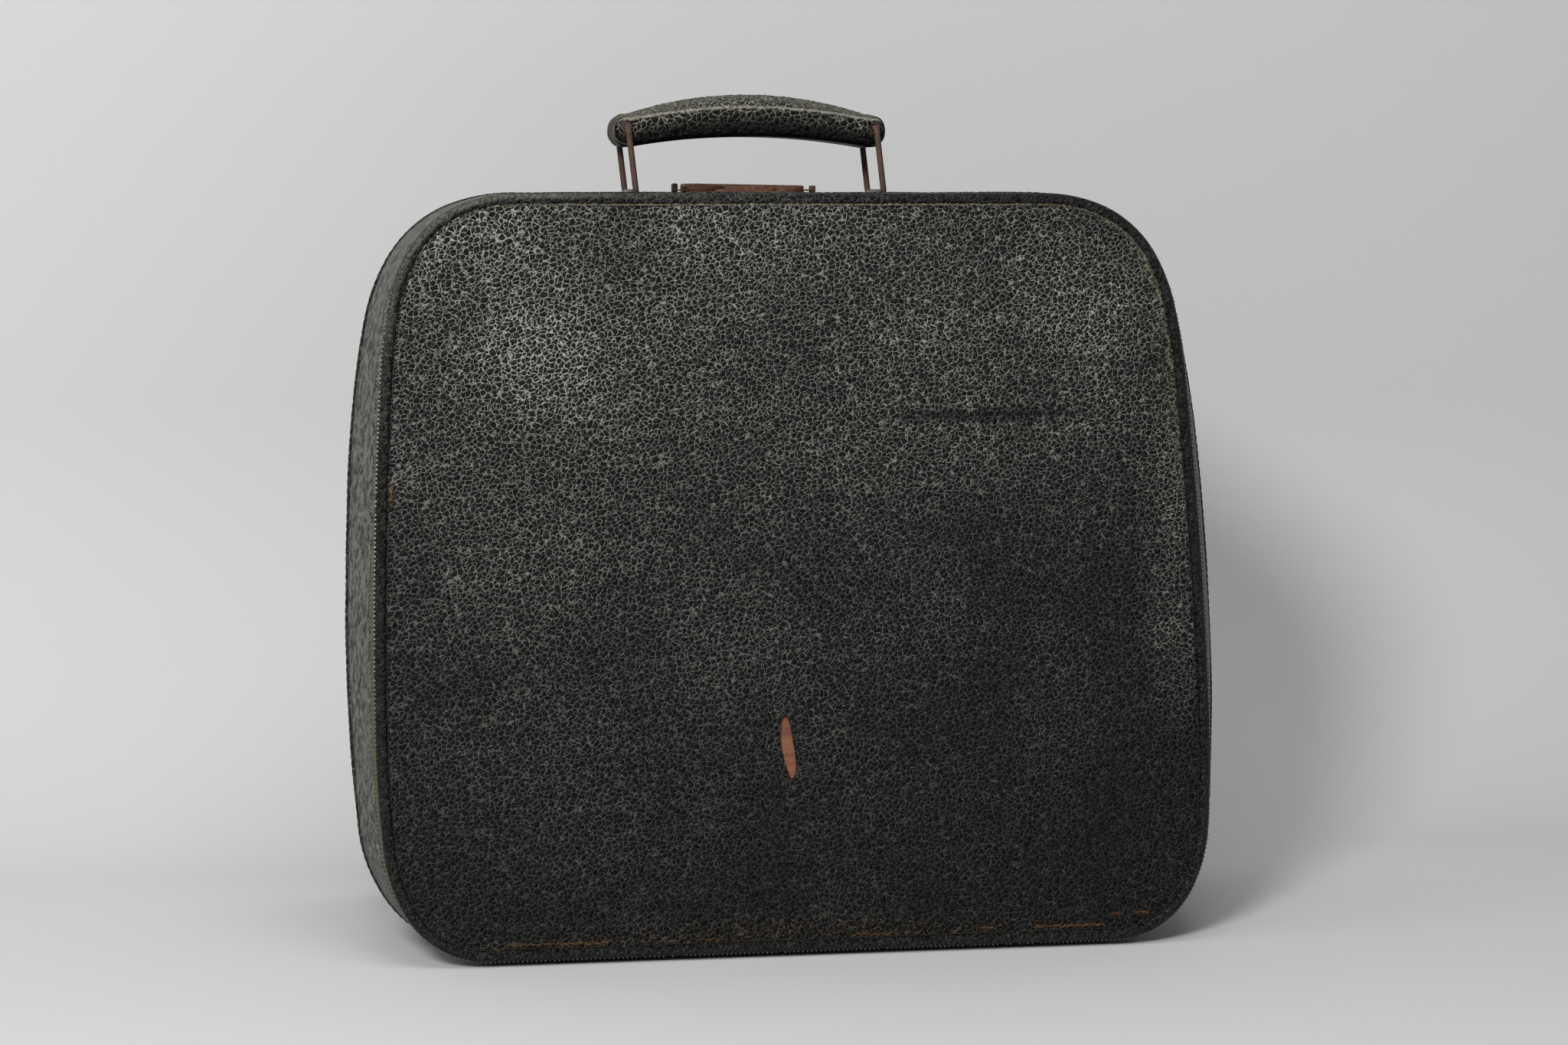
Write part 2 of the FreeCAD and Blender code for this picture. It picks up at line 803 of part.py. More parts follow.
def handle_holes(radius):
    """Rods along both eyelets of the handle."""
    length = handle_width + 2 * overrun
    return [rod(handle_middle + V(x, -length / 2, 0), REAR, radius, length) for x in hole_steps]


eyelet_bores = (wire_radius + wire_clearance, wire_radius + open_pivot_clearance)
eyelet_outer_radius = max(eyelet_bores) + eyelet_wall


def handle_core():
    """Stiff core of the handle."""
    return without(handle_form(handle_skin), handle_holes(eyelet_outer_radius + rivet_clearance))


def handle_cover():
    """Leather sewn round the handle's core."""
    skin = handle_form(0.0).cut(handle_form(handle_skin))
    return without(skin, handle_holes(eyelet_outer_radius + rivet_clearance))


def handle_eyelets():
    """Flanged tubes through the ends of the handle, the right one with room for the open pivot."""
    tubes = []
    for x, bore in zip(hole_steps, eyelet_bores):
        front = handle_middle + V(x, -handle_width / 2, 0)
        back = handle_middle + V(x, handle_width / 2, 0)
        tube = rod(front, REAR, eyelet_outer_radius, handle_width)
        flanges = [rod(front, FRONT, eyelet_flange_radius, eyelet_flange_thickness),
                   rod(back, REAR, eyelet_flange_radius, eyelet_flange_thickness)]
        hole = rod(front + FRONT * overrun, REAR, bore, handle_width + 2 * overrun)
        tubes.append(joined([tube] + flanges).cut(hole))
    return Part.Compound(tubes)


def strike_plate():
    """Plate on the lid whose hooked tongue enters the lock."""
    plate = box(across(0.0, strike_length), (strike_rear_y - strike_width, strike_rear_y),
                (shell_top, shell_top + strike_thickness))
    tongue_z = (shell_top + tongue_lift, shell_top + tongue_lift + tongue_thickness)
    block = box(across(0.0, strike_block_length), (strike_rear_y - strike_block_width, strike_rear_y),
                (shell_top, tongue_z[1]))
    head_front = lock_front_y + slider_setback + slider_lip_thickness + tongue_clearance
    head_y = (head_front, head_front + tongue_head_length)
    neck = box(across(0.0, tongue_neck_width), (strike_rear_y - strike_block_width, head_y[1]), tongue_z)
    head = box(across(0.0, tongue_head_width), head_y, tongue_z)
    body = joined([plate, block, neck, head])
    return without(body, [rivet_hole(place, DOWN, strike_rivet_length) for place in strike_rivet_places])


def rounded_plate(x_range, y_range, z_range, radius):
    """Plate with four rounded corners."""
    plate = box(x_range, y_range, z_range)
    uprights = [edge for edge in plate.Edges
                if abs(edge.Vertexes[0].Point.z - edge.Vertexes[-1].Point.z) > (z_range[1] - z_range[0]) / 2]
    return plate.makeFillet(radius, uprights)


lock_y = (lock_front_y, lock_front_y + lock_width)


def lock_plate():
    """Flat plate of the lock on the base."""
    plate = rounded_plate(across(0.0, lock_length), lock_y, (shell_top, lock_base_z), lock_corner_radius)
    return without(plate, [rivet_hole(place, DOWN, lock_rivet_length) for place in lock_rivet_places])


def lock_case():
    """Pressed cap of the lock, with slots for the slider and the tongue."""
    x_range = across(0.0, lock_length)
    cap = rounded_plate(x_range, lock_y, (lock_base_z, lock_top_z), lock_corner_radius)
    top_edges = [edge for edge in cap.Edges
                 if min(vertex.Point.z for vertex in edge.Vertexes) > lock_top_z - lock_cap_wall]
    cap = cap.makeChamfer(lock_crown_inset / 2, top_edges)
    wall = lock_cap_wall
    hollow = rounded_plate((x_range[0] + wall, x_range[1] - wall), (lock_y[0] + wall, lock_y[1] - wall),
                           (lock_base_z - overrun, lock_top_z - wall), lock_corner_radius - wall)
    slide_y = (slider_y[0] - lock_slot_clearance, slider_y[1] + lock_slot_clearance)
    slot = box((x_range[0] - overrun, x_range[1] + overrun), slide_y,
               (lock_base_z - overrun, slider_z[1] + lock_slot_clearance))
    mouth = box(across(0.0, tongue_head_width + 2 * tongue_clearance),
                (lock_y[0] - overrun, lock_y[0] + wall + overrun / 2),
                (lock_base_z - overrun, shell_top + tongue_lift + tongue_thickness + lock_slot_clearance))
    posts = [rod(V(place.x, place.y, lock_base_z), UP, rivet_head_radius, lock_cap_height - wall)
             for place in lock_rivet_places]
    cap = joined([without(cap, [hollow])] + posts)
    holes = [rivet_hole(place, DOWN, lock_rivet_length) for place in lock_rivet_places]
    return without(cap, [slot, mouth] + holes)


slider_y = (lock_front_y + slider_setback, lock_front_y + slider_setback + slider_width)
slider_z = (lock_base_z + slider_lift, lock_base_z + slider_lift + slider_thickness)


def lock_slider():
    """Sliding bolt of the lock: a bar with a gapped lip and a finger tab at each end."""
    left_inner = -lock_length / 2 - slider_tab_left_gap
    right_inner = lock_length / 2 + slider_tab_right_gap
    left = (left_inner - slider_tab_thickness, left_inner)
    right = (right_inner, right_inner + slider_tab_thickness)
    bar = box((left[0], right[1]), slider_y, slider_z)
    middle_y = (slider_y[0] + slider_y[1]) / 2
    tab_y = across(middle_y, slider_tab_length)
    tabs = [box(left, tab_y, (slider_z[0], lock_base_z + slider_left_tab_height)),
            box(right, tab_y, (slider_z[0], lock_base_z + slider_right_tab_height))]
    gap = tongue_head_width / 2 + tongue_clearance
    lip_y = (slider_y[0], slider_y[0] + slider_lip_thickness)
    lip_z = (slider_z[0], slider_z[1] + slider_lip_height)
    reach = lock_length / 2 - lock_corner_radius - slider_travel
    lips = [box((-reach, -gap), lip_y, lip_z), box((gap, reach), lip_y, lip_z)]
    return joined([bar] + tabs + lips)


def base_frame():
    """Bent plywood wall of the base."""
    wall = ring([base_station(base_front_y), base_station(base_board_rear_y)], cover_thickness, board_inset)
    return without(wall, base_top_holes() + base_bottom_holes())


def base_board():
    """Plywood back board of the base."""
    board = filled([base_station(base_board_front_y), base_station(base_board_rear_y)], board_inset)
    return without(board, deck_screw_holes())


def base_back_cover():
    """Leather over the back board."""
    return filled([base_station(base_board_rear_y), base_station(back_y - roll_stand)], roll_width)


def base_back_roll():
    """Rolled leather edge round the back."""
    wires = [base_station(back_y - leather_seat * depth).wire(roll_width * inset)
             for inset, depth in roll_section_shares]
    body = Part.makeLoft(wires, True, True)
    return body.cut(filled([base_station(base_board_rear_y), base_station(back_y)], roll_width))


def base_wall_cover():
    """Leather over the wall of the base."""
    cover = ring([base_station(base_front_y), base_station(base_board_rear_y)], 0.0, cover_thickness)
    return without(cover, base_top_holes() + base_bottom_holes())


def base_deck_lining():
    """Cloth over the inside of the back board."""
    cloth = filled([base_station(base_deck_y), base_station(base_board_front_y)], board_inset)
    return without(cloth, deck_screw_holes())


def base_wall_lining():
    """Cloth over the inside of the base's wall."""
    return ring([base_station(base_front_y), base_station(base_deck_y)], board_inset, inside_inset)


def base_locating_lip():
    """Plywood lip inside the upper part of the base that enters the lid and lines the halves up."""
    back = base_front_y + lip_seat_depth
    seat = ring([base_station(base_front_y), base_station(back)], inside_inset, inside_inset + lip_thickness)
    guide = ring([lip_tip(), base_station(base_front_y)],
                 inside_inset + lip_clearance, inside_inset + lip_thickness)
    below = box(across(0.0, 2 * mouth_width), (lip_tip().y - overrun, back + overrun),
                (shell_bottom - overrun, shell_top - lip_drop))
    return joined([seat, guide]).cut(below)


pad_places = [V(x, base_deck_y, z) for x in spread(2, pad_spacing_x, 0.0)
              for z in spread(2, pad_spacing_z, pad_middle_height)]
pad_screw_seat = pad_height - pad_cup_depth
hook_places = [V(x, base_deck_y, hook_height) for x in spread(2, hook_spacing, 0.0)]
hook_screw_z = hook_height - hook_foot_length + hook_foot_setback
clamp_places = [V(x, base_deck_y, clamp_height) for x in spread(2, clamp_spacing, 0.0)]


def deck_screw_places():
    """Every place where a screw enters the back board from inside."""
    hooks = [V(place.x, place.y, hook_screw_z) for place in hook_places]
    return pad_places + hooks + clamp_places


def deck_screw_holes():
    """Clear holes for the screws in the board and its cloth."""
    radii = [pad_screw_radius] * (len(pad_places) + len(hook_places))
    radii += [clamp_screw_radius] * len(clamp_places)
    return [rod(place + FRONT * overrun, REAR, radius + rivet_clearance, overrun + screw_depth)
            for place, radius in zip(deck_screw_places(), radii)]


def machine_pad(place):
    """Cupped rubber pad for one foot of the machine."""
    pad = rod(place, FRONT, pad_radius, pad_height)
    cup = rod(place + FRONT * pad_screw_seat, FRONT, pad_cup_radius, pad_cup_depth + overrun)
    hole = rod(place, FRONT, pad_screw_radius + rivet_clearance, pad_height)
    return without(pad, [cup, hole])


def deck_screw(place, standoff):
    """Round-headed wood screw through a fitting of the given thickness."""
    seat = place + FRONT * standoff
    shank = rod(seat, REAR, pad_screw_radius, standoff + screw_depth)
    head = Part.makeCone(pad_screw_head_radius, pad_screw_radius, pad_screw_head_height, seat, FRONT)
    return joined([shank, head])


def pad_screws():
    """Screws of the four pads."""
    return Part.Compound([deck_screw(place, pad_screw_seat) for place in pad_places])


def hold_down_hook(place):
    """Bent steel hook over the machine's rear rail."""
    top_z = place.z
    foot = box(across(place.x, hook_width), (place.y - hook_thickness, place.y),
               (top_z - hook_foot_length, top_z))
    rise = box(across(place.x, hook_width), (place.y - hook_rise, place.y),
               (top_z - hook_thickness, top_z))
    nose = box(across(place.x, hook_width), (place.y - hook_rise, place.y - hook_rise + hook_thickness),
               (top_z - hook_reach, top_z))
    hole = rod(V(place.x, place.y + overrun, hook_screw_z), FRONT, pad_screw_radius + rivet_clearance,
               overrun + 2 * hook_thickness)
    return joined([foot, rise, nose]).cut(hole)


def hook_screws():
    """Screws of the two hooks."""
    return Part.Compound([deck_screw(V(place.x, place.y, hook_screw_z), hook_thickness)
                          for place in hook_places])


def clamp_screw(place):
    """Post and shouldered screw that one clamp lever turns on, with its wide head."""
    post = rod(place, FRONT, clamp_post_radius, clamp_post_height)
    shoulder_length = clamp_thickness + 2 * clamp_gap
    shoulder = rod(place + FRONT * clamp_post_height, FRONT, clamp_screw_radius, shoulder_length)
    head_seat = place + FRONT * (clamp_post_height + shoulder_length)
    head = rod(head_seat, FRONT, clamp_screw_head_radius, clamp_screw_head_height)
    shank = rod(place, REAR, clamp_screw_radius, screw_depth)
    slot = box(across(place.x, 2 * clamp_screw_head_radius + overrun),
               (head_seat.y - clamp_screw_head_height - overrun, head_seat.y - clamp_screw_head_height / 2),
               across(place.z, clamp_thickness / 2))
    return joined([post, shoulder, head, shank]).cut(slot)


def clamp_lever(place):
    """Turning lever that holds the machine's front rail, hanging from its screw."""
    back = place.y - clamp_post_height - clamp_gap
    y_range = (back - clamp_thickness, back)
    straight = clamp_length - clamp_width
    bar = box(across(place.x, clamp_width), y_range, (place.z - straight, place.z))
    pivot = V(place.x, y_range[0], place.z)
    tip = V(place.x, y_range[0], place.z - straight)
    rounds = [rod(end, REAR, clamp_width / 2, clamp_thickness) for end in (pivot, tip)]
    hole = rod(pivot + FRONT * overrun, REAR, clamp_screw_radius + clamp_screw_clearance,
               clamp_thickness + 2 * overrun)
    return joined([bar] + rounds).cut(hole)


def all_parts():
    """Every sub-part of the case by name."""
    left_x, right_x = loop_places
    return {
        "lid_frame": lid_frame(),
        "lid_front_board": lid_front_board(),
        "lid_front_cover": lid_front_cover(),
        "lid_front_roll": lid_front_roll(),
        "lid_band_cover": lid_band_cover(),
        "lid_welt": lid_welt(),
        "lid_wall_cover": lid_wall_cover(),
        "lid_front_lining": lid_front_lining(),
        "lid_wall_lining": lid_wall_lining(),
        "front_wear_strip": wear_strip(front_strip_y),
        "front_strip_nails": strip_nails(front_strip_y),
        "left_hinge_lid_leaf": hinge_leaf(hinge_left, -1),
        "right_hinge_lid_leaf": hinge_leaf(hinge_right, -1),
        "lid_hinge_rivets": rivets(lid_hinge_rivets, UP, hinge_rivet_length),
        "left_handle_saddle": saddle(left_x),
        "right_handle_saddle": saddle(right_x),
        "handle_saddle_rivets": rivets(saddle_rivet_places, DOWN, saddle_rivet_length),
        "left_backing_plate": backing_plate(left_x),
        "right_backing_plate": backing_plate(right_x),
        "strike_plate": strike_plate(),
        "strike_rivets": rivets(strike_rivet_places, DOWN, strike_rivet_length),
        "left_loop": wire_loop(left_x),
        "right_loop": wire_loop(right_x),
        "handle_core": handle_core(),
        "handle_cover": handle_cover(),
        "handle_eyelets": handle_eyelets(),
        "base_frame": base_frame(),
        "base_board": base_board(),
        "base_back_cover": base_back_cover(),
        "base_back_roll": base_back_roll(),
        "base_wall_cover": base_wall_cover(),
        "base_deck_lining": base_deck_lining(),
        "base_wall_lining": base_wall_lining(),
        "base_locating_lip": base_locating_lip(),
        "rear_wear_strip": wear_strip(rear_strip_y),
        "rear_strip_nails": strip_nails(rear_strip_y),
        "left_hinge_base_leaf": hinge_leaf(hinge_left, 1),
        "right_hinge_base_leaf": hinge_leaf(hinge_right, 1),
        "left_hinge_pin": hinge_pin(hinge_left),
        "right_hinge_pin": hinge_pin(hinge_right),
        "base_hinge_rivets": rivets(base_hinge_rivets, UP, hinge_rivet_length),
        "lock_plate": lock_plate(),
        "lock_case": lock_case(),
        "lock_rivets": rivets(lock_rivet_places, DOWN, lock_rivet_length),
        "lock_slider": lock_slider(),
        "left_lower_pad": machine_pad(pad_places[0]),
        "left_upper_pad": machine_pad(pad_places[1]),
        "right_lower_pad": machine_pad(pad_places[2]),
        "right_upper_pad": machine_pad(pad_places[3]),
        "pad_screws": pad_screws(),
        "left_hold_down_hook": hold_down_hook(hook_places[0]),
        "right_hold_down_hook": hold_down_hook(hook_places[1]),
        "hook_screws": hook_screws(),
        "left_clamp_screw": clamp_screw(clamp_places[0]),
        "right_clamp_screw": clamp_screw(clamp_places[1]),
        "left_clamp_lever": clamp_lever(clamp_places[0]),
        "right_clamp_lever": clamp_lever(clamp_places[1]),
    }


os.makedirs("parts", exist_ok=True)
for name, shape in all_parts().items():
    shape.exportStep("parts/" + name + ".step")
    bounds = shape.BoundBox
    print(name, len(shape.Solids), "solids,", "valid" if shape.isValid() else "NOT VALID",
          round(shape.Volume, 1), "cubic mm, x", round(bounds.XMin, 2), round(bounds.XMax, 2),
          "y", round(bounds.YMin, 2), round(bounds.YMax, 2),
          "z", round(bounds.ZMin, 2), round(bounds.ZMax, 2))
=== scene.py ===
"""Looks of a portable typewriter case: a deep wedge-shaped leather lid hinged to a shallow base.

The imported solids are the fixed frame. This script makes the leather, cloth, wire, rust and thread that they
stand for, in the same place, and lights the case on a pale floor. Sizes in the classes are millimetres, and
they become metres where a mesh is made.
"""
import logging
import math
from dataclasses import dataclass
from enum import Enum
from functools import reduce
from typing import Any, Callable, Sequence

import bmesh
import bpy
import numpy as np
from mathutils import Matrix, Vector


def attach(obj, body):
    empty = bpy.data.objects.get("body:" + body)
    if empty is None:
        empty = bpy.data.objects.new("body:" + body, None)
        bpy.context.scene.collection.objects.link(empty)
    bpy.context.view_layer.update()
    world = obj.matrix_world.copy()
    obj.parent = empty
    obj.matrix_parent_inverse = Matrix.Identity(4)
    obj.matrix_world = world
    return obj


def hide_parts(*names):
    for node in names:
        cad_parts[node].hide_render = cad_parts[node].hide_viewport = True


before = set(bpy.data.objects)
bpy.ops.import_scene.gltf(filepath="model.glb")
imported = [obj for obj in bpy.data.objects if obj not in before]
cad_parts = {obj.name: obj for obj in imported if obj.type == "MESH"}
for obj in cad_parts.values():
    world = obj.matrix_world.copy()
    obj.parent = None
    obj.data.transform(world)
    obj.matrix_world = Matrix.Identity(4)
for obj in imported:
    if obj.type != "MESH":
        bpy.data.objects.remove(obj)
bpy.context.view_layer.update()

LOG = logging.getLogger("typewriter_case")
MM = 0.001
TURNS = tuple(math.radians(turn) for turn in (20.0, 42.0, 17.0, 7.0, 4.0, 5.5, 24.5, 60.0))
LONG_SIDE = 4
Array = np.ndarray
Piece = bpy.types.Object
Material = bpy.types.Material
Socket = bpy.types.NodeSocket
Tree = bpy.types.NodeTree
Colour = tuple[float, float, float]
Shape = tuple[Array, Any]


# The outlines of the case

@dataclass(frozen=True)
class Outline:
    """Rounded outline of the case across one plane: tangent arcs from the top flat to the bottom flat."""

    width: float
    radii: tuple[float, ...]

    def mixed(self, other: "Outline", share: float) -> "Outline":
        """Outline part of the way to another one.

        Args:
            other: The outline at a share of one.
            share: How far to go, from zero to one.

        Returns:
            The mixed outline.
        """
        radii = tuple(one + (two - one) * share for one, two in zip(self.radii, other.radii))
        return Outline(self.width + (other.width - self.width) * share, radii)

    def all_radii(self, height: float, inset: float) -> list[float]:
        """Every radius less the inset, with the long side's worked out from the height.

        Args:
            height: Height from flat to flat.
            inset: How far the outline is drawn in.

        Returns:
            One radius for each turn.
        """
        ends = np.concatenate(([0.0], np.cumsum(TURNS)))
        falls = np.cos(ends[:-1]) - np.cos(ends[1:])
        radii = [radius - inset for radius in self.radii]
        radii.insert(LONG_SIDE, 0.0)
        radii[LONG_SIDE] = (height - float(np.dot(radii, falls))) / falls[LONG_SIDE]
        return radii


@dataclass(frozen=True)
class Station:
    """One plane across the case with the outline there."""

    outline: Outline
    height: float
    y: float
    slope: float
    top: float

    def place(self, x: Array, drop: Array, depth: Any = 0.0) -> Array:
        """Points at x, this far down the plane from its top edge and this far behind it, as rows of three.

        Args:
            x: Place along x, in millimetres.
            drop: Way down the plane from its top edge.
            depth: Way behind the plane.

        Returns:
            The points.
        """
        x, drop, depth = np.broadcast_arrays(x, drop, depth)
        y, z = self.y + depth - drop * math.sin(self.slope), self.top - drop * math.cos(self.slope)
        return np.stack([x, y, z], -1)

    def right_side(self, inset: float, spacing: float) -> tuple[Array, Array, int, int]:
        """Right half of the outline from the middle of the top to the middle of the bottom.

        Args:
            inset: How far the outline is drawn in.
            spacing: Rough distance between points.

        Returns:
            The x values, the drops, and the numbers of points on the top flat and on the bottom flat.
        """
        drop = inset / math.cos(self.slope)
        radii = self.outline.all_radii(self.height - 2 * drop, inset)
        ends = np.concatenate(([0.0], np.cumsum(TURNS)))
        runs = np.sin(ends[1:]) - np.sin(ends[:-1])
        flat = self.outline.width / 2 - inset - float(np.dot(radii[:LONG_SIDE + 1], runs[:LONG_SIDE + 1]))
        counts = CaseShape.piece_counts(spacing)
        xs = [np.linspace(0, flat, counts[0], endpoint=False)]
        drops = [np.full(counts[0], drop)]
        x = flat
        for radius, start, end, count in zip(radii, ends[:-1], ends[1:], counts[1:]):
            turn = np.linspace(start, end, count, endpoint=False)
            xs.append(x + radius * (np.sin(turn) - math.sin(start)))
            drops.append(drop + radius * (math.cos(start) - np.cos(turn)))
            x += radius * (math.sin(end) - math.sin(start))
            drop += radius * (math.cos(start) - math.cos(end))
        xs.append(np.linspace(x, 0, counts[-1] + 1))
        drops.append(np.full(counts[-1] + 1, drop))
        return np.concatenate(xs), np.concatenate(drops), counts[0], counts[-1]

    def loop(self, inset: float, spacing: float) -> Array:
        """Closed run of points from the middle of the top, clockwise as seen from the front.

        Args:
            inset: How far the outline is drawn in.
            spacing: Rough distance between points.

        Returns:
            One row of x, y, z for each point, alike in number for every station and inset.
        """
        xs, drops, _, _ = self.right_side(inset, spacing)
        right = self.place(xs, drops)
        left = right[-2:0:-1] * np.array([-1.0, 1.0, 1.0])
        return np.concatenate([right, left])


@dataclass(frozen=True)
class CaseShape:
    """Sizes of the case and the planes that its skins run through, the same as those of the solids.

    The four outlines are those of the leather face, of the welt where the sides bulge, of the mouth where the
    halves meet, and of the back, which is rounder above than the face.
    """

    shell_height: float = 299.3
    lean: float = math.radians(9.2)
    top_depth: float = 126.0
    parting_depth: float = 92.0
    parting_gap: float = 0.4
    strip_height: float = 2.0
    cover: float = 1.2
    wall: float = 4.0
    board: float = 5.0
    lining: float = 0.8
    band_depth: float = 25.8
    welt_thickness: float = 2.4
    roll_width: float = 4.6
    roll_stand: float = 0.9
    handle_depth: float = 63.5
    handle_offset: float = -1.9
    saddle_reach: float = 52.0
    hinges: tuple[float, float] = (-95.0, 95.0)
    panel: Outline = Outline(336.6, (62.0, 45.0, 70.0, 220.0, 475.0, 61.0, 37.0))
    welt: Outline = Outline(354.4, (70.0, 52.0, 87.0, 420.0, 710.0, 64.0, 49.0))
    mouth: Outline = Outline(339.6, (70.0, 50.0, 82.0, 280.0, 560.0, 62.0, 40.0))
    back: Outline = Outline(335.6, (74.0, 54.0, 88.0, 300.0, 475.0, 62.0, 38.0))

    @staticmethod
    def piece_counts(spacing: float) -> list[int]:
        """Numbers of steps on the top flat, on each arc and on the bottom flat, for a rough spacing.

        Args:
            spacing: Distance wanted between neighbouring points.

        Returns:
            The three numbers.
        """
        radii = CaseShape.panel.all_radii(303.2, 0.0)
        lengths = [54.0] + [radius * turn for radius, turn in zip(radii, TURNS)] + [115.0]
        return [max(2, round(length / spacing)) for length in lengths]

    @property
    def top(self) -> float:
        """Height of the top flat."""
        return self.strip_height + self.shell_height

    @property
    def panel_height(self) -> float:
        """Height of the leather face down its slope."""
        return self.shell_height / math.cos(self.lean)

    @property
    def panel_top_y(self) -> float:
        """Place of the top edge of the leather face."""
        return ((self.panel_height - self.roll_width / 2) * math.sin(self.lean) - self.top_depth) / 2

    @property
    def parting_y(self) -> float:
        """Place of the parting line."""
        return self.panel_top_y + self.parting_depth

    @property
    def base_front(self) -> float:
        """Place of the front of the base."""
        return self.parting_y + self.parting_gap / 2

    @property
    def back_y(self) -> float:
        """Place of the back."""
        return self.panel_top_y + self.top_depth

    @property
    def handle_y(self) -> float:
        """Place of the handle."""
        return self.panel_top_y + self.handle_depth

    @property
    def saddles(self) -> tuple[float, float]:
        """Places of the two saddles of the handle."""
        return (self.handle_offset - self.saddle_reach, self.handle_offset + self.saddle_reach)

    @property
    def seat(self) -> float:
        """Depth of the underside of the face leather."""
        return self.roll_stand + self.cover

    @property
    def wall_depth(self) -> float:
        """Depth of the front edge of the lid's wall leather."""
        return self.band_depth + self.welt_thickness

    @property
    def deck_y(self) -> float:
        """Place of the cloth over the back board."""
        return self.back_y - self.seat - self.board - self.lining

    @property
    def inner(self) -> float:
        """Inset of the bare inside of the walls."""
        return self.cover + self.wall

    def lid_station(self, depth: float) -> Station:
        """Plane parallel to the leather face, this far behind it."""
        outline = self.panel.mixed(self.welt, min(depth / self.band_depth, 1.0))
        return Station(outline, self.panel_height, self.panel_top_y + depth, self.lean, self.top)

    def lid_mouth(self) -> Station:
        """Upright plane at the rear edge of the lid."""
        return Station(self.mouth, self.shell_height, self.parting_y - self.parting_gap / 2, 0.0, self.top)

    def base_station(self, y: float) -> Station:
        """Upright plane across the base."""
        outline = self.mouth.mixed(self.back, (y - self.base_front) / (self.back_y - self.base_front))
        return Station(outline, self.shell_height, y, 0.0, self.top)

    def on_face(self, x: float, slide: float, depth: float = 0.0) -> tuple[float, float, float]:
        """Point at x, this far down the leather face and this far behind it."""
        y = self.panel_top_y + depth - slide * math.sin(self.lean)
        return (x, y, self.top - slide * math.cos(self.lean))


# Meshes

def cell_faces(index: Array) -> Array:
    """Four-cornered faces between the points of an index grid."""
    corners = (index[:-1, :-1], index[:-1, 1:], index[1:, 1:], index[1:, :-1])
    return np.stack([corner.ravel() for corner in corners], -1)


def rim_of(index: Array) -> Array:
    """Indices round the rim of an index grid."""
    return np.concatenate([index[0, :], index[1:, -1], index[-1, -2::-1], index[-2:0:-1, 0]])


def grid_faces(rows: int, columns: int, wrap_rows: bool, wrap_columns: bool) -> Array:
    """Four-cornered faces of a grid of points.

    Args:
        rows: Number of rows.
        columns: Number of points in a row.
        wrap_rows: Whether the last row joins the first.
        wrap_columns: Whether the last point of a row joins its first.

    Returns:
        One row of four indices for each face.
    """
    index = np.arange(rows * columns).reshape(rows, columns)
    if wrap_rows:
        index = np.vstack([index, index[:1]])
    if wrap_columns:
        index = np.hstack([index, index[:, :1]])
    return cell_faces(index)


def capped_faces(rows: int, columns: int) -> list[list[int]]:
    """Faces of a run of rings with a flat face at each end."""
    ends = [list(range(start, start + columns)) for start in (0, (rows - 1) * columns)]
    return grid_faces(rows, columns, False, True).tolist() + ends


def tidy_mesh(mesh: bpy.types.Mesh, merge: float = 0.0) -> None:
    """Joins doubled points, turns all faces outwards and shades the mesh smooth.

    Args:
        mesh: The mesh, in metres.
        merge: Distance in metres under which points are joined, or zero for none.
    """
    work = bmesh.new()
    work.from_mesh(mesh)
    if merge:
        bmesh.ops.remove_doubles(work, verts=work.verts, dist=merge)
    bmesh.ops.recalc_face_normals(work, faces=work.faces)
    work.to_mesh(mesh)
    work.free()
    mesh.shade_smooth()


def new_piece(name: str, points: Array, faces: Sequence, finish: Material) -> Piece:
    """Makes an object from points in millimetres.

    Args:
        name: Name of the object.
        points: One row of x, y, z for each point.
        faces: Indices of each face.
        finish: Material of the whole piece.

    Returns:
        The object, at the origin.
    """
    mesh = bpy.data.meshes.new(name)
    mesh.from_pydata((np.asarray(points) * MM).tolist(), [], [list(map(int, face)) for face in faces])
    tidy_mesh(mesh)
    mesh.materials.append(finish)
    return linked(name, mesh)


def linked(name: str, data: Any) -> Piece:
    """Object that holds some data, in the scene and at the origin.

    Args:
        name: Name of the object.
        data: The mesh, curve, light or camera that it holds.

    Returns:
        The object.
    """
    thing = bpy.data.objects.new(name, data)
    bpy.context.scene.collection.objects.link(thing)
    return thing


def add_masks(piece: Piece, **masks: Sequence[Array]) -> None:
    """Stores numbers for each point of a piece, in runs, for its material or its growth to read.

    Args:
        piece: The piece.
        masks: Name of each mask, with its numbers in one or more runs.
    """
    for name, runs in masks.items():
        values = np.concatenate([np.ravel(run) for run in runs]).astype(np.float32)
        piece.data.attributes.new(name, "FLOAT", "POINT").data.foreach_set("value", values)


def waves(places: Array, length: float, seed: int, count: int = 14) -> Array:
    """Smooth seeded unevenness, about one high at most.

    Args:
        places: One row of x, y, z for each point.
        length: Rough length of the waves in millimetres.
        seed: Number that fixes the pattern.
        count: Number of waves that are added up.

    Returns:
        One value for each point.
    """
    chance = np.random.default_rng(seed)
    total = np.zeros(places.shape[:-1])
    for _ in range(count):
        direction = chance.normal(size=3)
        direction *= 2 * math.pi / (length * chance.uniform(0.6, 1.7) * np.linalg.norm(direction))
        total += np.sin(places @ direction + chance.uniform(0, 2 * math.pi))
    return total / math.sqrt(2.0 * count)


def rise(value: Array, low: float, high: float) -> Array:
    """Smooth step from zero at low to one at high."""
    share = np.clip((np.asarray(value, dtype=float) - low) / (high - low), 0.0, 1.0)
    return share * share * (3 - 2 * share)


def swept(name: str, loops: Sequence[Array], finish: Material) -> Piece:
    """Closed ring skin through loops of the same number of points, the last joined to the first."""
    points = np.concatenate(loops)
    return new_piece(name, points, grid_faces(len(loops), len(loops[0]), True, True), finish)


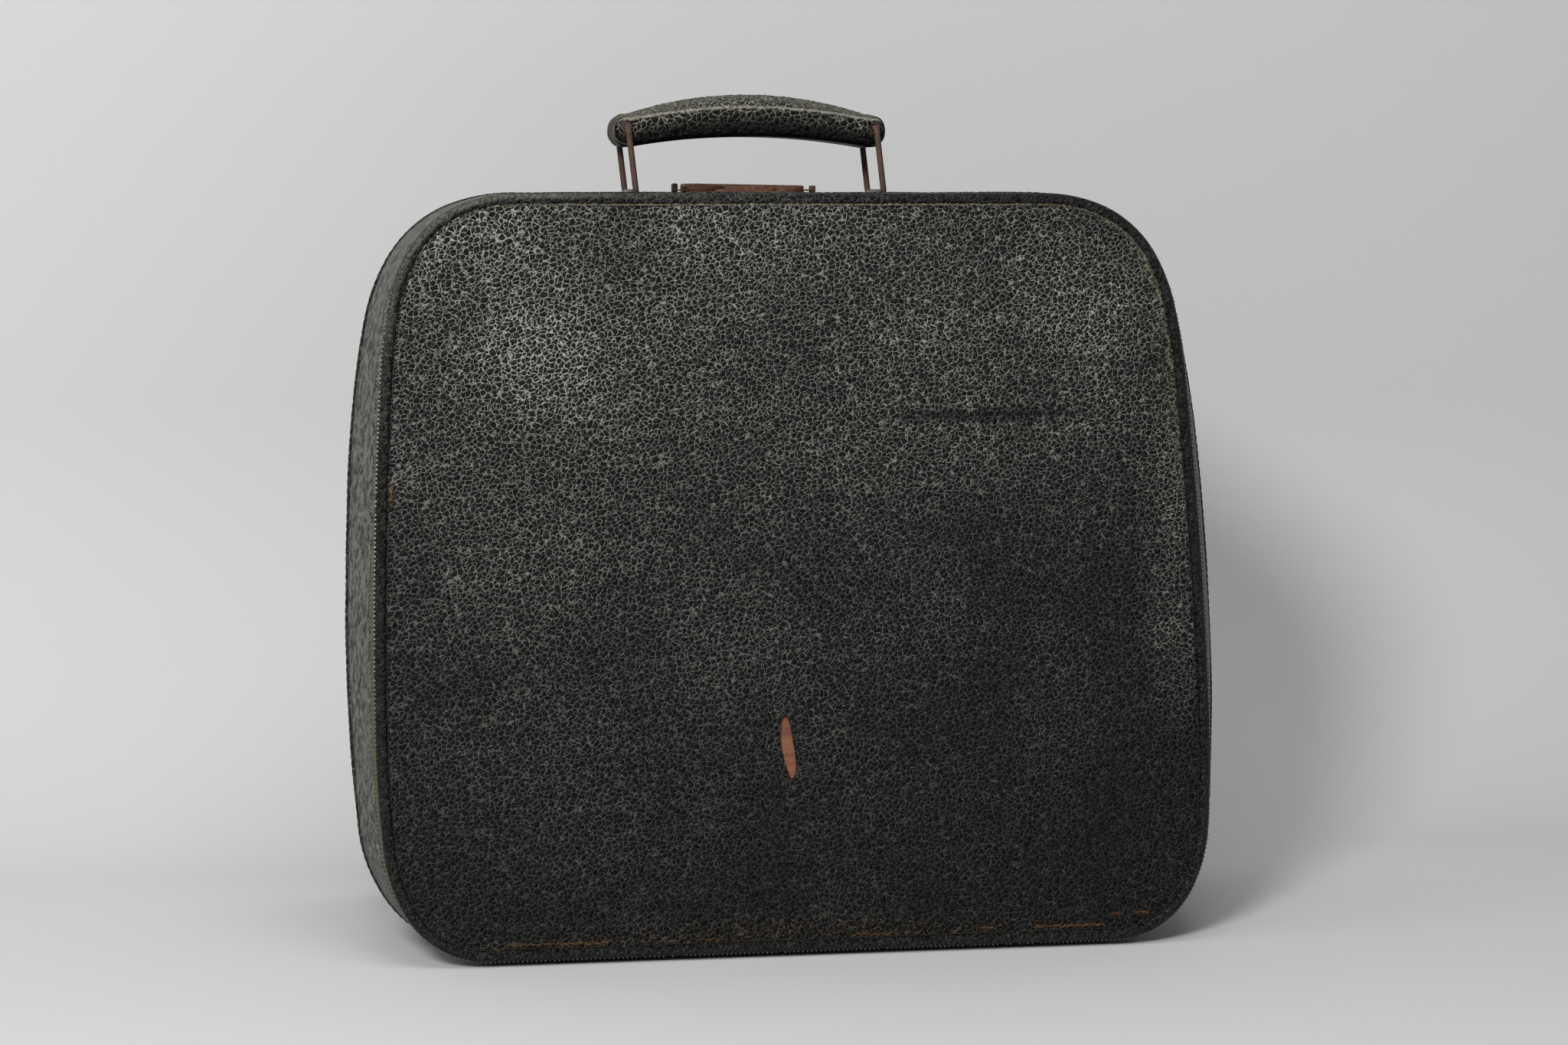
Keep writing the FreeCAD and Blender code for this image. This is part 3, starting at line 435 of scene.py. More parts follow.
def slab(name: str, front: Array, back: Array, finish: Material) -> Piece:
    """Closed sheet between two grids of points of the same size.

    Args:
        name: Name of the object.
        front: Grid of points, rows by columns by three.
        back: Grid of points behind them.
        finish: Material of the sheet.

    Returns:
        The sheet.
    """
    rows, columns = front.shape[:2]
    index = np.arange(rows * columns).reshape(rows, columns)
    faces, rim = cell_faces(index), rim_of(index)
    after = np.roll(rim, -1)
    sides = np.stack([rim, after, after + index.size, rim + index.size], -1)
    points = np.concatenate([front.reshape(-1, 3), back.reshape(-1, 3)])
    return new_piece(name, points, np.concatenate([faces, faces + index.size, sides]), finish)


def panel_grid(station: Station, inset: float, spacing: float, columns: int) -> tuple[Array, Array]:
    """Grid over the whole of an outline, its edge points on the outline itself.

    Args:
        station: The plane.
        inset: How far the outline is drawn in.
        spacing: Rough distance between rows.
        columns: Number of points in a row.

    Returns:
        The x values and the drops, rows by columns.
    """
    xs, drops, flat_top, flat_bottom = station.right_side(inset, spacing)
    xs, drops = xs[flat_top:len(xs) - flat_bottom], drops[flat_top:len(drops) - flat_bottom]
    across = np.linspace(-1.0, 1.0, columns)
    return xs[:, None] * across[None, :], np.repeat(drops[:, None], columns, 1)


def edge_distance(xs: Array, drops: Array) -> Array:
    """Rough distance of each point of a panel grid from the edge of the grid."""
    side = np.abs(xs[:, -1:]) - np.abs(xs)
    return np.minimum(side, np.minimum(drops - drops[0, 0], drops[-1, 0] - drops))


def run_lengths(run: Array) -> Array:
    """Distance of each point of a run from its start, along it."""
    return np.concatenate(([0.0], np.cumsum(np.linalg.norm(np.diff(run, axis=0), axis=1))))


def at_steps(run: Array, steps: Array) -> Array:
    """Points of a run at these distances along it."""
    lengths = run_lengths(run)
    return np.stack([np.interp(steps, lengths, run[:, axis]) for axis in range(run.shape[1])], -1)


def even_steps(loop: Array, pitch: float) -> tuple[Array, Array]:
    """Even steps round a closed run of points.

    Args:
        loop: One row of x, y, z for each point.
        pitch: Distance between steps.

    Returns:
        The places and the directions of travel.
    """
    closed = np.vstack([loop, loop[:1]])
    length = run_lengths(closed)[-1]
    places = at_steps(closed, np.arange(0.0, length - pitch / 2, length / round(length / pitch)))
    ahead = np.roll(places, -1, 0) - np.roll(places, 1, 0)
    return places, ahead / np.linalg.norm(ahead, axis=1, keepdims=True)


def rounded_corners(half_x: float, half_y: float, radius: float, count: int) -> Array:
    """Rectangle about its middle with rounded corners of this many points, one row of two for each.

    Args:
        half_x: Half of its size along x.
        half_y: Half of its size along the other axis.
        radius: Radius of the corners.
        count: Number of points on each corner.

    Returns:
        The points.
    """
    turn = np.linspace(0, math.pi / 2, count)
    corners = []
    for quarter, (side_x, side_y) in enumerate(((1, 1), (-1, 1), (-1, -1), (1, -1))):
        angle = turn + quarter * math.pi / 2
        corners.append(np.stack([side_x * (half_x - radius) + radius * np.cos(angle),
                                 side_y * (half_y - radius) + radius * np.sin(angle)], -1))
    return np.concatenate(corners)


def ringed(path: Array, side: Array, rest: Array, size: Any, count: int) -> Array:
    """Points of a ring round each point of a path.

    Args:
        path: One row of x, y, z for each point.
        side: Direction across the path at each point.
        rest: The other direction across it.
        size: Radius, one for all or one for each point.
        count: Number of points of a ring.

    Returns:
        The points, ring after ring.
    """
    turn = np.linspace(0, 2 * math.pi, count, endpoint=False)[None, :, None]
    size = np.broadcast_to(size, len(path))[:, None, None]
    return (path[:, None, :] + size * (np.cos(turn) * side[:, None, :] + np.sin(turn) * rest)).reshape(-1, 3)


def tube(path: Array, radius: float, sides: int) -> Shape:
    """Points and faces of a round tube along a closed path.

    Args:
        path: Points that it follows, one per row.
        radius: Radius of the section.
        sides: Number of sides of the section.

    Returns:
        Points and faces.
    """
    ahead = np.roll(path, -1, 0) - np.roll(path, 1, 0)
    ahead /= np.linalg.norm(ahead, axis=1, keepdims=True)
    normal = np.linalg.svd(path - path.mean(0), full_matrices=False)[2][2]
    points = ringed(path, np.cross(ahead, normal), normal, radius, sides)
    return points, grid_faces(len(path), sides, True, True)


def turned(profile: Sequence[tuple[float, float]], centre: Sequence[float], axis: Sequence[float],
           sides: int) -> Shape:
    """Closed turned shape about an axis.

    Args:
        profile: Closed run of radius and height along the axis.
        centre: Where the height is zero.
        axis: Direction of the height.
        sides: Number of points round it.

    Returns:
        The points and the faces.
    """
    up = Vector(axis).normalized()
    first = up.orthogonal().normalized()
    turn = np.linspace(0, 2 * math.pi, sides, endpoint=False)
    around = np.outer(np.cos(turn), first) + np.outer(np.sin(turn), up.cross(first))
    rings = [np.asarray(centre) + np.asarray(up) * height + radius * around for radius, height in profile]
    return np.concatenate(rings), grid_faces(len(profile), sides, True, True)


def block(low: Sequence[float], high: Sequence[float]) -> Shape:
    """Points and faces of a block between two corners.

    Args:
        low: Its corner with the lowest values.
        high: Its corner with the highest values.

    Returns:
        Points and faces.
    """
    points = [[x, y, z] for z in (low[2], high[2]) for y in (low[1], high[1]) for x in (low[0], high[0])]
    faces = [[0, 2, 3, 1], [4, 5, 7, 6], [0, 1, 5, 4], [2, 6, 7, 3], [0, 4, 6, 2], [1, 3, 7, 5]]
    return np.array(points), np.array(faces)


def gathered(shapes: Sequence[Shape]) -> Shape:
    """Points and faces of several shapes as one list.

    Args:
        shapes: Points and faces of each shape.

    Returns:
        Points and faces.
    """
    points: list[Array] = []
    faces: list = []
    start = 0
    for shape_points, shape_faces in shapes:
        points.append(shape_points)
        faces.extend((np.asarray(shape_faces) + start).tolist())
        start += len(shape_points)
    return np.concatenate(points), faces


def plain_mesh(piece: Piece) -> None:
    """Turns a piece and its modifiers into one plain mesh.

    Args:
        piece: The piece.
    """
    graph = bpy.context.evaluated_depsgraph_get()
    mesh = bpy.data.meshes.new_from_object(piece.evaluated_get(graph), preserve_all_data_layers=True,
                                           depsgraph=graph)
    piece.modifiers.clear()
    old = piece.data
    piece.data = mesh
    mesh.name = piece.name
    bpy.data.meshes.remove(old)


def carved(piece: Piece, cutters: Sequence[Shape]) -> Piece:
    """Cuts shapes out of a closed piece.

    Args:
        piece: The piece.
        cutters: Points and faces of each shape to cut away.

    Returns:
        The same piece.
    """
    finish = piece.data.materials[0]
    tool = new_piece(piece.name + "_cutter", *gathered(cutters), finish)
    cut = piece.modifiers.new("cut", "BOOLEAN")
    cut.object = tool
    cut.solver = "EXACT"
    plain_mesh(piece)
    bpy.data.objects.remove(tool)
    return piece


def softened(piece: Piece, width: float, segments: int = 2) -> Piece:
    """Rounds the sharp edges of a piece by a width in millimetres.

    Args:
        piece: The piece.
        width: Width of the rounding, in millimetres.
        segments: Number of steps in the rounding.

    Returns:
        The same piece.
    """
    bevel = piece.modifiers.new("rounding", "BEVEL")
    bevel.width = width * MM
    bevel.segments = segments
    bevel.limit_method = "ANGLE"
    plain_mesh(piece)
    piece.data.shade_smooth()
    return piece


def place_piece(piece: Piece, body: str, slot: str, *nodes: str) -> None:
    """Makes a piece ride on a body and stand for solids, and reports it.

    Args:
        piece: The piece.
        body: Name of the body that it moves with.
        slot: The record's material slot; not used.
        *nodes: Names of the solids that it stands for.
    """
    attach(piece, body)
    if nodes:
        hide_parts(*nodes)
    LOG.info("%s on %s: %d faces", piece.name, body, len(piece.data.polygons))


# Nodes

class NodeKit:
    """Short ways to add nodes to one tree and to join them."""

    def __init__(self, tree: Tree) -> None:
        """Starts on a tree."""
        self.tree = tree

    def node(self, kind: str, inputs: dict[Any, Any] | None = None, **settings: Any) -> bpy.types.Node:
        """Adds a node with its settings and with what goes into its sockets.

        Args:
            kind: Kind of the node.
            inputs: What goes into each socket, by name or number.
            **settings: Settings of the node.

        Returns:
            The node.
        """
        node = self.tree.nodes.new(kind)
        for key, value in settings.items():
            setattr(node, key, value)
        for key, value in (inputs or {}).items():
            self.feed(node.inputs[key], value)
        return node

    def feed(self, socket: Socket, value: Any) -> None:
        """Joins a socket to another one, or gives it a constant.

        Args:
            socket: Input that is given something.
            value: Another socket, or a constant.
        """
        if isinstance(value, Socket):
            self.tree.links.new(value, socket)
        else:
            socket.default_value = value

    def math(self, operation: str, *values: Any, clamp: bool = False) -> Socket:
        """Result of a sum on numbers."""
        node = self.node("ShaderNodeMath", dict(enumerate(values)), operation=operation, use_clamp=clamp)
        return node.outputs[0]

    def times(self, *values: Any) -> Socket:
        """Product of numbers."""
        return reduce(lambda one, two: self.math("MULTIPLY", one, two), values)

    def plus(self, *values: Any) -> Socket:
        """Sum of numbers."""
        return reduce(lambda one, two: self.math("ADD", one, two), values)

    def vector(self, operation: str, *values: Any) -> Socket:
        """Result of a sum on vectors."""
        node = self.node("ShaderNodeVectorMath", dict(enumerate(values)), operation=operation)
        return node.outputs["Value" if operation == "LENGTH" else "Vector"]

    def scaled(self, vector: Any, factor: Any) -> Socket:
        """Vector or colour times a number."""
        node = self.node("ShaderNodeVectorMath", {0: vector, "Scale": factor}, operation="SCALE")
        return node.outputs["Vector"]

    def split(self, vector: Any) -> Any:
        """The three numbers of a vector, by X, Y and Z."""
        return self.node("ShaderNodeSeparateXYZ", {0: vector}).outputs

    def joined(self, *numbers: Any) -> Socket:
        """Vector of three numbers."""
        return self.node("ShaderNodeCombineXYZ", dict(enumerate(numbers))).outputs[0]

    def turned(self, place: Any, angle: Any) -> Socket:
        """Place turned about the depth axis."""
        node = self.node("ShaderNodeVectorRotate", {"Vector": place, "Angle": angle}, rotation_type="Y_AXIS")
        return node.outputs[0]

    def noise(self, place: Any, scale: Any, detail: float = 2.0, rough: float = 0.5,
              output: str = "Fac") -> Socket:
        """Smooth noise at a place, with this many waves to a metre."""
        return self.node("ShaderNodeTexNoise", {"Vector": place, "Scale": scale, "Detail": detail,
                                                "Roughness": rough}).outputs[output]

    def cells(self, place: Any, scale: Any, feature: str = "F1", output: str = "Distance") -> Socket:
        """Irregular cells at a place."""
        node = self.node("ShaderNodeTexVoronoi", {"Vector": place, "Scale": scale}, feature=feature)
        return node.outputs[output]

    def smooth(self, value: Any, low: Any, high: Any, start: Any = 0.0, end: Any = 1.0) -> Socket:
        """Smooth step of a number between two others."""
        inputs = {"Value": value, "From Min": low, "From Max": high, "To Min": start, "To Max": end}
        return self.node("ShaderNodeMapRange", inputs, interpolation_type="SMOOTHSTEP").outputs["Result"]

    def mix(self, share: Any, one: Any, two: Any) -> Socket:
        """Mix of two colours."""
        one, two = (value if isinstance(value, Socket) else (*value, 1.0) for value in (one, two))
        return self.node("ShaderNodeMix", {0: share, 6: one, 7: two}, data_type="RGBA").outputs[2]

    def mask(self, name: str) -> Socket:
        """Number stored on the piece's points."""
        return self.node("ShaderNodeAttribute", attribute_name=name).outputs["Fac"]

    def spot(self, place: Any, centre: Sequence[float], radii: Sequence[float]) -> Socket:
        """Soft round spot: one at its centre and zero outside its radii, all in millimetres.

        Args:
            place: Position at each point.
            centre: Middle of the spot.
            radii: Its reach along each axis.

        Returns:
            Socket of the spot.
        """
        away = self.vector("SUBTRACT", place, tuple(value * MM for value in centre))
        sized = self.vector("DIVIDE", away, tuple(value * MM for value in radii))
        return self.smooth(self.vector("LENGTH", sized), 1.0, 0.25)


class GroupKit(NodeKit):
    """Kit of one node group: what it is given and what it gives out."""

    def __init__(self, name: str, kind: str, given: dict[str, Any], results: dict[str, str]) -> None:
        """Makes a group.

        Args:
            name: Name of the group.
            kind: Kind of its tree.
            given: Usual value of each number that goes in, or the kind of another socket.
            results: Kind of each socket that comes out.
        """
        tree = bpy.data.node_groups.new(name, kind)
        for label, value in given.items():
            kind = {float: "Float", int: "Int"}.get(type(value), value)
            socket = tree.interface.new_socket(label, in_out="INPUT", socket_type="NodeSocket" + kind)
            if kind != value:
                socket.default_value = value
        for label, value in results.items():
            tree.interface.new_socket(label, in_out="OUTPUT", socket_type="NodeSocket" + value)
        super().__init__(tree)
        self.given = self.node("NodeGroupInput").outputs
        self.results = self.node("NodeGroupOutput").inputs

    def put(self, **results: Any) -> Tree:
        """Joins the results to what comes out, and hands over the group.

        Args:
            results: Name of each result, with its socket.

        Returns:
            The node tree.
        """
        for label, value in results.items():
            self.feed(self.results[label], value)
        return self.tree


def pebble_nodes(kit: GroupKit, place: Any, line: Any = 0.13) -> tuple[Any, Any, Any]:
    """Nodes of a pebbled grain, the same for the colour of a surface and for its form.

    Args:
        kit: Kit of a group that is given the cell size, the turn and stretch of the pebbles, and a shift.
        place: Place in metres.
        line: Width of the creases in cells.

    Returns:
        Height of the pebbles, mask of the creases, and a tone for each pebble.
    """
    moved = kit.vector("ADD", place, kit.joined(*[kit.given["Shift"]] * 3))
    squeeze = kit.joined(kit.math("DIVIDE", 1.0, kit.given["Stretch"]), 1.0, 1.0)
    long = kit.vector("MULTIPLY", kit.turned(moved, kit.given["Turn"]), squeeze)
    unit = kit.scaled(long, kit.math("DIVIDE", 1.0, kit.given["Cell"]))
    bend = kit.vector("SUBTRACT", kit.noise(unit, 0.8, 2.0, 0.55, "Color"), (0.5, 0.5, 0.5))
    bent = kit.vector("ADD", unit, kit.scaled(bend, 1.15))
    edge = kit.cells(bent, 1.0, "DISTANCE_TO_EDGE")
    fold = kit.cells(kit.vector("ADD", bent, (7.3, 1.9, 4.1)), 1.75, "DISTANCE_TO_EDGE")
    height = kit.plus(kit.times(kit.smooth(edge, 0.0, 0.46), 0.75), kit.times(kit.smooth(fold, 0.0, 0.3), 0.25))
    crease = kit.math("MAXIMUM", kit.smooth(edge, line, 0.015), kit.times(kit.smooth(fold, 0.04, 0.005), 0.22))
    return height, crease, kit.cells(bent, 1.0, "F1", "Color")


class GroupBook:
    """Shader node groups that several finishes share, each made once."""

    def __init__(self) -> None:
        """Makes the groups."""
        self.pebble, self.dust, self.rust = self._pebble(), self._dust(), self._rust()
        self.weave, self.wood, self.scratch = self._weave(), self._wood(), self._scratch()

    @staticmethod
    def _start(name: str, numbers: dict[str, float], **results: str) -> GroupKit:
        """Starts a shader group that is given a place and some numbers."""
        return GroupKit(name, "ShaderNodeTree", {"Place": "Vector", **numbers}, results)

    def _pebble(self) -> Tree:
        """Pebbled leather grain.

        Returns:
            The node tree.
        """
        kit = self._start("pebble grain", {"Cell": 0.0026, "Turn": 0.6, "Stretch": 1.3, "Shift": 0.0,
                                           "Line": 0.13}, Height="Float", Crease="Float", Tone="Color")
        height, crease, tone = pebble_nodes(kit, kit.given["Place"], kit.given["Line"])
        return kit.put(Height=height, Crease=crease, Tone=tone)

    def _dust(self) -> Tree:
        """Patchy dust: broad clouds broken by fine ones.

        Returns:
            The node tree.
        """
        kit = self._start("patchy dust", {"Waves": 25.0, "Amount": 0.5}, Mask="Float")
        broad = kit.noise(kit.given["Place"], kit.given["Waves"], 3.0, 0.55)
        fine = kit.noise(kit.given["Place"], kit.times(kit.given["Waves"], 16.0), 2.0, 0.6)
        both = kit.plus(kit.times(broad, 0.62), kit.times(fine, 0.38))
        low = kit.math("SUBTRACT", 0.78, kit.times(kit.given["Amount"], 0.56))
        return kit.put(Mask=kit.smooth(both, low, kit.plus(low, 0.24)))

    def _rust(self) -> Tree:
        """Rust: brown scale with dark and ochre specks.

        Returns:
            The node tree.
        """
        kit = self._start("rust", {"Waves": 900.0, "Ochre": 0.4, "Dark": 0.4}, Color="Color", Roughness="Float",
                          Height="Float")
        broad = kit.noise(kit.given["Place"], kit.times(kit.given["Waves"], 0.22), 4.0, 0.6)
        fine = kit.noise(kit.given["Place"], kit.given["Waves"], 4.0, 0.68)
        brown = kit.mix(kit.smooth(broad, 0.32, 0.68), (0.085, 0.034, 0.022), (0.2, 0.078, 0.044))
        specks = kit.times(kit.smooth(fine, 0.52, 0.66), kit.given["Ochre"])
        scale = kit.times(kit.smooth(fine, 0.48, 0.34), kit.given["Dark"])
        return kit.put(Color=kit.mix(scale, kit.mix(specks, brown, (0.36, 0.2, 0.075)), (0.022, 0.014, 0.012)),
                       Roughness=kit.smooth(fine, 0.3, 0.7, 0.55, 0.85),
                       Height=kit.plus(fine, kit.times(broad, 0.6)))

    def _weave(self) -> Tree:
        """Plain weave, its threads along z and across it.

        Returns:
            The node tree.
        """
        kit = self._start("plain weave", {"Thread": 0.0006}, Height="Float", Over="Float")
        size = kit.math("DIVIDE", math.pi, kit.given["Thread"])
        part = kit.split(kit.given["Place"])
        across = kit.math("SINE", kit.times(kit.plus(part["X"], part["Y"]), size))
        over = kit.times(across, kit.math("SINE", kit.times(part["Z"], size)))
        uneven = kit.noise(kit.given["Place"], 260.0, 2.0)
        return kit.put(Height=kit.plus(kit.math("ABSOLUTE", over), kit.times(uneven, 0.5)),
                       Over=kit.smooth(over, -0.4, 0.4))

    def _wood(self) -> Tree:
        """Wood grain that runs along the x axis.

        Returns:
            The node tree.
        """
        kit = self._start("wood grain", {"Waves": 120.0}, Grain="Float", Height="Float")
        long = kit.vector("MULTIPLY", kit.given["Place"], (0.07, 1.0, 1.0))
        rings = kit.noise(long, kit.given["Waves"], 5.0, 0.6)
        pores = kit.noise(long, kit.times(kit.given["Waves"], 14.0), 2.0, 0.7)
        return kit.put(Grain=kit.smooth(rings, 0.3, 0.7), Height=kit.plus(kit.times(rings, 0.4), pores))

    def _scratch(self) -> Tree:
        """Thin straight scratches in several directions.

        Returns:
            The node tree.
        """
        kit = self._start("scratches", {"Waves": 60.0, "Amount": 0.5}, Mask="Float")
        total: Any = 0.0
        for angle in (0.4, 1.3, 2.4):
            thin = kit.vector("MULTIPLY", kit.turned(kit.given["Place"], angle), (1.0, 1.0, 26.0))
            total = kit.math("MAXIMUM", total, kit.smooth(kit.noise(thin, kit.given["Waves"], 1.0), 0.71, 0.75))
        return kit.put(Mask=kit.times(total, kit.given["Amount"]))


class FinishKit(NodeKit):
    """Kit of one material with its shader and the place on the piece."""

    def __init__(self, name: str, groups: GroupBook) -> None:
        """Starts a material of this name.

        Args:
            name: Name of the material.
            groups: The shared shader groups.
        """
        self.material = bpy.data.materials.new(name)
        self.material.use_nodes = True
        super().__init__(self.material.node_tree)
        self.groups = groups
        self.shader = self.tree.nodes["Principled BSDF"]
        self.place = self.node("ShaderNodeTexCoord").outputs["Object"]

    def group(self, tree: Tree, **numbers: Any) -> Any:
        """Adds a shared group at the piece's place, with its own values, and gives what comes out of it."""
        return self.node("ShaderNodeGroup", {"Place": self.place, **numbers}, node_tree=tree).outputs

    def dust(self, waves: float, amount: float) -> Socket:
        """Mask of patchy dust with this many clouds to a metre."""
        return self.group(self.groups.dust, Waves=waves, Amount=amount)["Mask"]

    def marks(self, waves: float, amount: float) -> Socket:
        """Mask of scratches with this many waves to a metre."""
        return self.group(self.groups.scratch, Waves=waves, Amount=amount)["Mask"]

    def finish(self, colour: Any, roughness: Any, height: Any, depth: float, **fixed: Any) -> Material:
        """Joins the results to the shader.

        Args:
            colour: Base colour.
            roughness: Roughness.
            height: Height for the bumps.
            depth: What a height of one stands for, in metres.
            **fixed: Other inputs of the shader, with low lines for blanks.

        Returns:
            The material.
        """
        bump = self.node("ShaderNodeBump", {"Strength": 1.0, "Distance": depth, "Height": height})
        joins = {"Base Color": colour, "Roughness": roughness, "Normal": bump.outputs[0]}
        joins.update((name.replace("_", " "), value) for name, value in fixed.items())
        for name, value in joins.items():
            self.feed(self.shader.inputs[name], value)
        return self.material


@dataclass(frozen=True)
class PebbledLeather:
    """Coarse pebbled black leather with dust in its creases."""

    name: str
    cell: float = 2.0
    turn: float = 0.55
    stretch: float = 1.3
    shift: float = 0.0
    pebble: Colour = (0.0034, 0.0039, 0.004)
    dust: Colour = (0.36, 0.36, 0.32)
    amount: float = 0.3
    relief: float = 0.6
    gloss: float = 0.4
    shine: float = 0.07
    masked: bool = False

    def make(self, groups: GroupBook) -> Material:
        """Builds the material from the shared groups.

        Args:
            groups: The shared shader groups.

        Returns:
            The material.
        """
        kit = FinishKit(self.name, groups)
        amount, line = self.dust_and_painted_light(kit)
        grain = kit.group(groups.pebble, Cell=self.cell * MM, Turn=self.turn, Stretch=self.stretch,
                          Shift=self.shift, Line=line)
        fine = kit.noise(kit.place, 800.0, 2.0, 0.6)
        lines = kit.math("MULTIPLY", kit.times(grain["Crease"], kit.smooth(fine, 0.3, 0.6, 0.3, 1.0)), amount,
                         clamp=True)
        cover = kit.math("MAXIMUM", lines, kit.times(amount, kit.smooth(fine, 0.4, 0.75), 0.035))
        tone = kit.node("ShaderNodeSeparateColor", {0: grain["Tone"]}).outputs[0]
        dark, light = (tuple(value * factor for value in self.pebble) for factor in (0.6, 1.6))
        colour = self.marked(kit, kit.mix(cover, kit.mix(tone, dark, light), self.dust), fine, grain["Crease"])
        rough = kit.math("ADD", self.gloss, kit.times(cover, 0.45), clamp=True)
        pores = kit.times(kit.noise(kit.place, 3200.0, 2.0), 0.2)
        return kit.finish(colour, rough, kit.plus(grain["Height"], pores), self.relief * MM,
                          Specular_IOR_Level=self.shine)

    def raised(self, piece: Piece, trees: "GrowthTrees", height: float) -> Piece:
        """Raises the pebbles of a piece to a height in millimetres, where the colour has them."""
        return grow(piece, trees.pebbled, piece.data.materials[0], Cell=self.cell * MM, Turn=self.turn,
                    Stretch=self.stretch, Shift=self.shift, Rise=height * MM)

    def dust_and_painted_light(self, kit: FinishKit) -> tuple[Any, Any]:
        """How dusty each part is, with painted light where the piece's dusty mask carries it, and how wide its
        creases are.
        """
        amount = kit.times(kit.smooth(kit.noise(kit.place, 16.0, 3.0, 0.55), 0.3, 0.7, 0.6, 1.25), self.amount)
        return (kit.times(amount, kit.mask("dusty")) if self.masked else amount), 0.085

    def marked(self, kit: FinishKit, colour: Any, fine: Any, crease: Any) -> Socket:
        """Colour with pale ridges where the piece has them: wear on the handle, and painted highlights on the
        crest of the rolled edge.

        Args:
            kit: The builder of this node tree.
            colour: Colour before this step.
            fine: Fine noise, shared by the steps.
            crease: How deep in a crease each point lies.

        Returns:
            Socket of the colour.
        """
        if not self.masked:
            return colour
        # Pale ridges: worn leather on the handle, painted highlights on the crest of the rolled edge.
        ridge = kit.times(kit.mask("ridge"), kit.smooth(fine, 0.3, 0.6, 0.3, 1.0))
        return kit.mix(ridge, colour, (0.4, 0.385, 0.31))


@dataclass(frozen=True)
class FaceLeather(PebbledLeather):
    """Leather of the face: dust in its creases, with painted light that makes it lighter above and to the left
    and brighter in three patches, marks along its rim, and painted shade along an old crease.
    """

    name: str = "face_leather"
    cell: float = 1.8

    def dust_and_painted_light(self, kit: FinishKit) -> tuple[Any, Any]:
        """How dusty each part is, with painted light mixed into the dust, and how wide its creases are.

        Args:
            kit: The builder of this node tree.

        Returns:
            Sockets of the dust with its painted light, and of the width.
        """
        part = kit.split(kit.place)
        # Painted light: the crease dust grows towards the top and the left, where the light falls, so the lower
        # part is painted darker as shade.
        lower = kit.smooth(part["Z"], 0.01, 0.2, 0.13, 0.4)
        upper = kit.smooth(part["Z"], 0.14, 0.29, 0.0, 0.36)
        across = kit.smooth(part["X"], -0.17, 0.17, 1.08, 0.72)
        # Dust patches at the upper left and upper right, which also stand for painted reflections of two
        # softboxes; the third spot, at the right edge, is a painted sheen.
        spots = [kit.times(kit.spot(kit.place, CaseShape().on_face(x, slide), radii), share)
                 for x, slide, radii, share in ((-113.0, 42.0, (52.0, 60.0, 62.0), 0.35),
                                                (93.0, 60.0, (90.0, 60.0, 80.0), 0.3),
                                                (156.0, 155.0, (20.0, 60.0, 75.0), 0.35))]
        whole = kit.plus(kit.times(kit.plus(lower, upper), across), kit.plus(*spots))
        cloud = kit.smooth(kit.noise(kit.place, 17.0, 3.0, 0.55), 0.3, 0.7, 0.62, 1.22)
        # Painted shade: the dust thins along the old crease so that it reads as a dark line.
        crease_shade = kit.math("SUBTRACT", 1.0, kit.times(kit.mask("old_crease"), 0.75))
        return kit.times(whole, cloud, crease_shade), kit.smooth(part["X"], -0.12, 0.1, 0.09, 0.07)

    def marked(self, kit: FinishKit, colour: Any, fine: Any, crease: Any) -> Socket:
        """Colour with dust in the groove of the upper right corner and brown wear along the foot.

        Args:
            kit: The builder of this node tree.
            colour: Colour before this step.
            fine: Fine noise, shared by the steps.
            crease: How deep in a crease each point lies.

        Returns:
            Socket of the colour.
        """
        corner, foot, scuff = (
            kit.spot(kit.place, CaseShape().on_face(x, slide), radii) for x, slide, radii in (
                (142.0, 62.0, (70.0, 80.0, 88.0)), (0.0, 300.0, (175.0, 60.0, 14.0)),
                (-163.0, 119.0, (4.5, 20.0, 7.0))))
        stray = kit.smooth(fine, 0.42, 0.6)
        dusty = kit.mix(kit.times(kit.mask("rim"), corner, stray, 0.8), colour, (0.27, 0.245, 0.16))
        brown = kit.times(foot, crease, kit.smooth(fine, 0.4, 0.7), 0.6)
        return kit.mix(kit.math("MAXIMUM", brown, kit.times(scuff, stray)), dusty, (0.16, 0.085, 0.04))


@dataclass(frozen=True)
class BandLeather:
    """Satin grey leather with a fine grain, worn olive along its sewn edge, with painted shade where it tucks
    under the rolled edge.
    """

    name: str = "grey_band_leather"

    def make(self, groups: GroupBook) -> Material:
        """Builds the material from the shared groups.

        Args:
            groups: The shared shader groups.

        Returns:
            The material.
        """
        kit = FinishKit(self.name, groups)
        fine = kit.noise(kit.vector("MULTIPLY", kit.place, (1.0, 1.0, 0.55)), 480.0, 4.0, 0.75)
        colour = kit.mix(kit.smooth(fine, 0.36, 0.64), (0.006, 0.006, 0.0058), (0.145, 0.143, 0.132))
        colour = kit.mix(kit.times(kit.dust(30.0, 0.55), 0.2), colour, (0.1, 0.098, 0.09))
        colour = kit.mix(kit.marks(45.0, 0.22), colour, (0.2, 0.195, 0.175))
        worn = kit.times(kit.mask("worn_edge"), kit.smooth(fine, 0.3, 0.55, 0.45, 1.0))
        colour = kit.mix(worn, colour, (0.085, 0.075, 0.042))
        # Painted shade where the band tucks under the rolled edge.
        colour = kit.mix(kit.mask("dark_edge"), colour, (0.012, 0.012, 0.011))
        return kit.finish(colour, kit.smooth(fine, 0.3, 0.7, 0.48, 0.62), fine, 0.0003, Specular_IOR_Level=0.22)


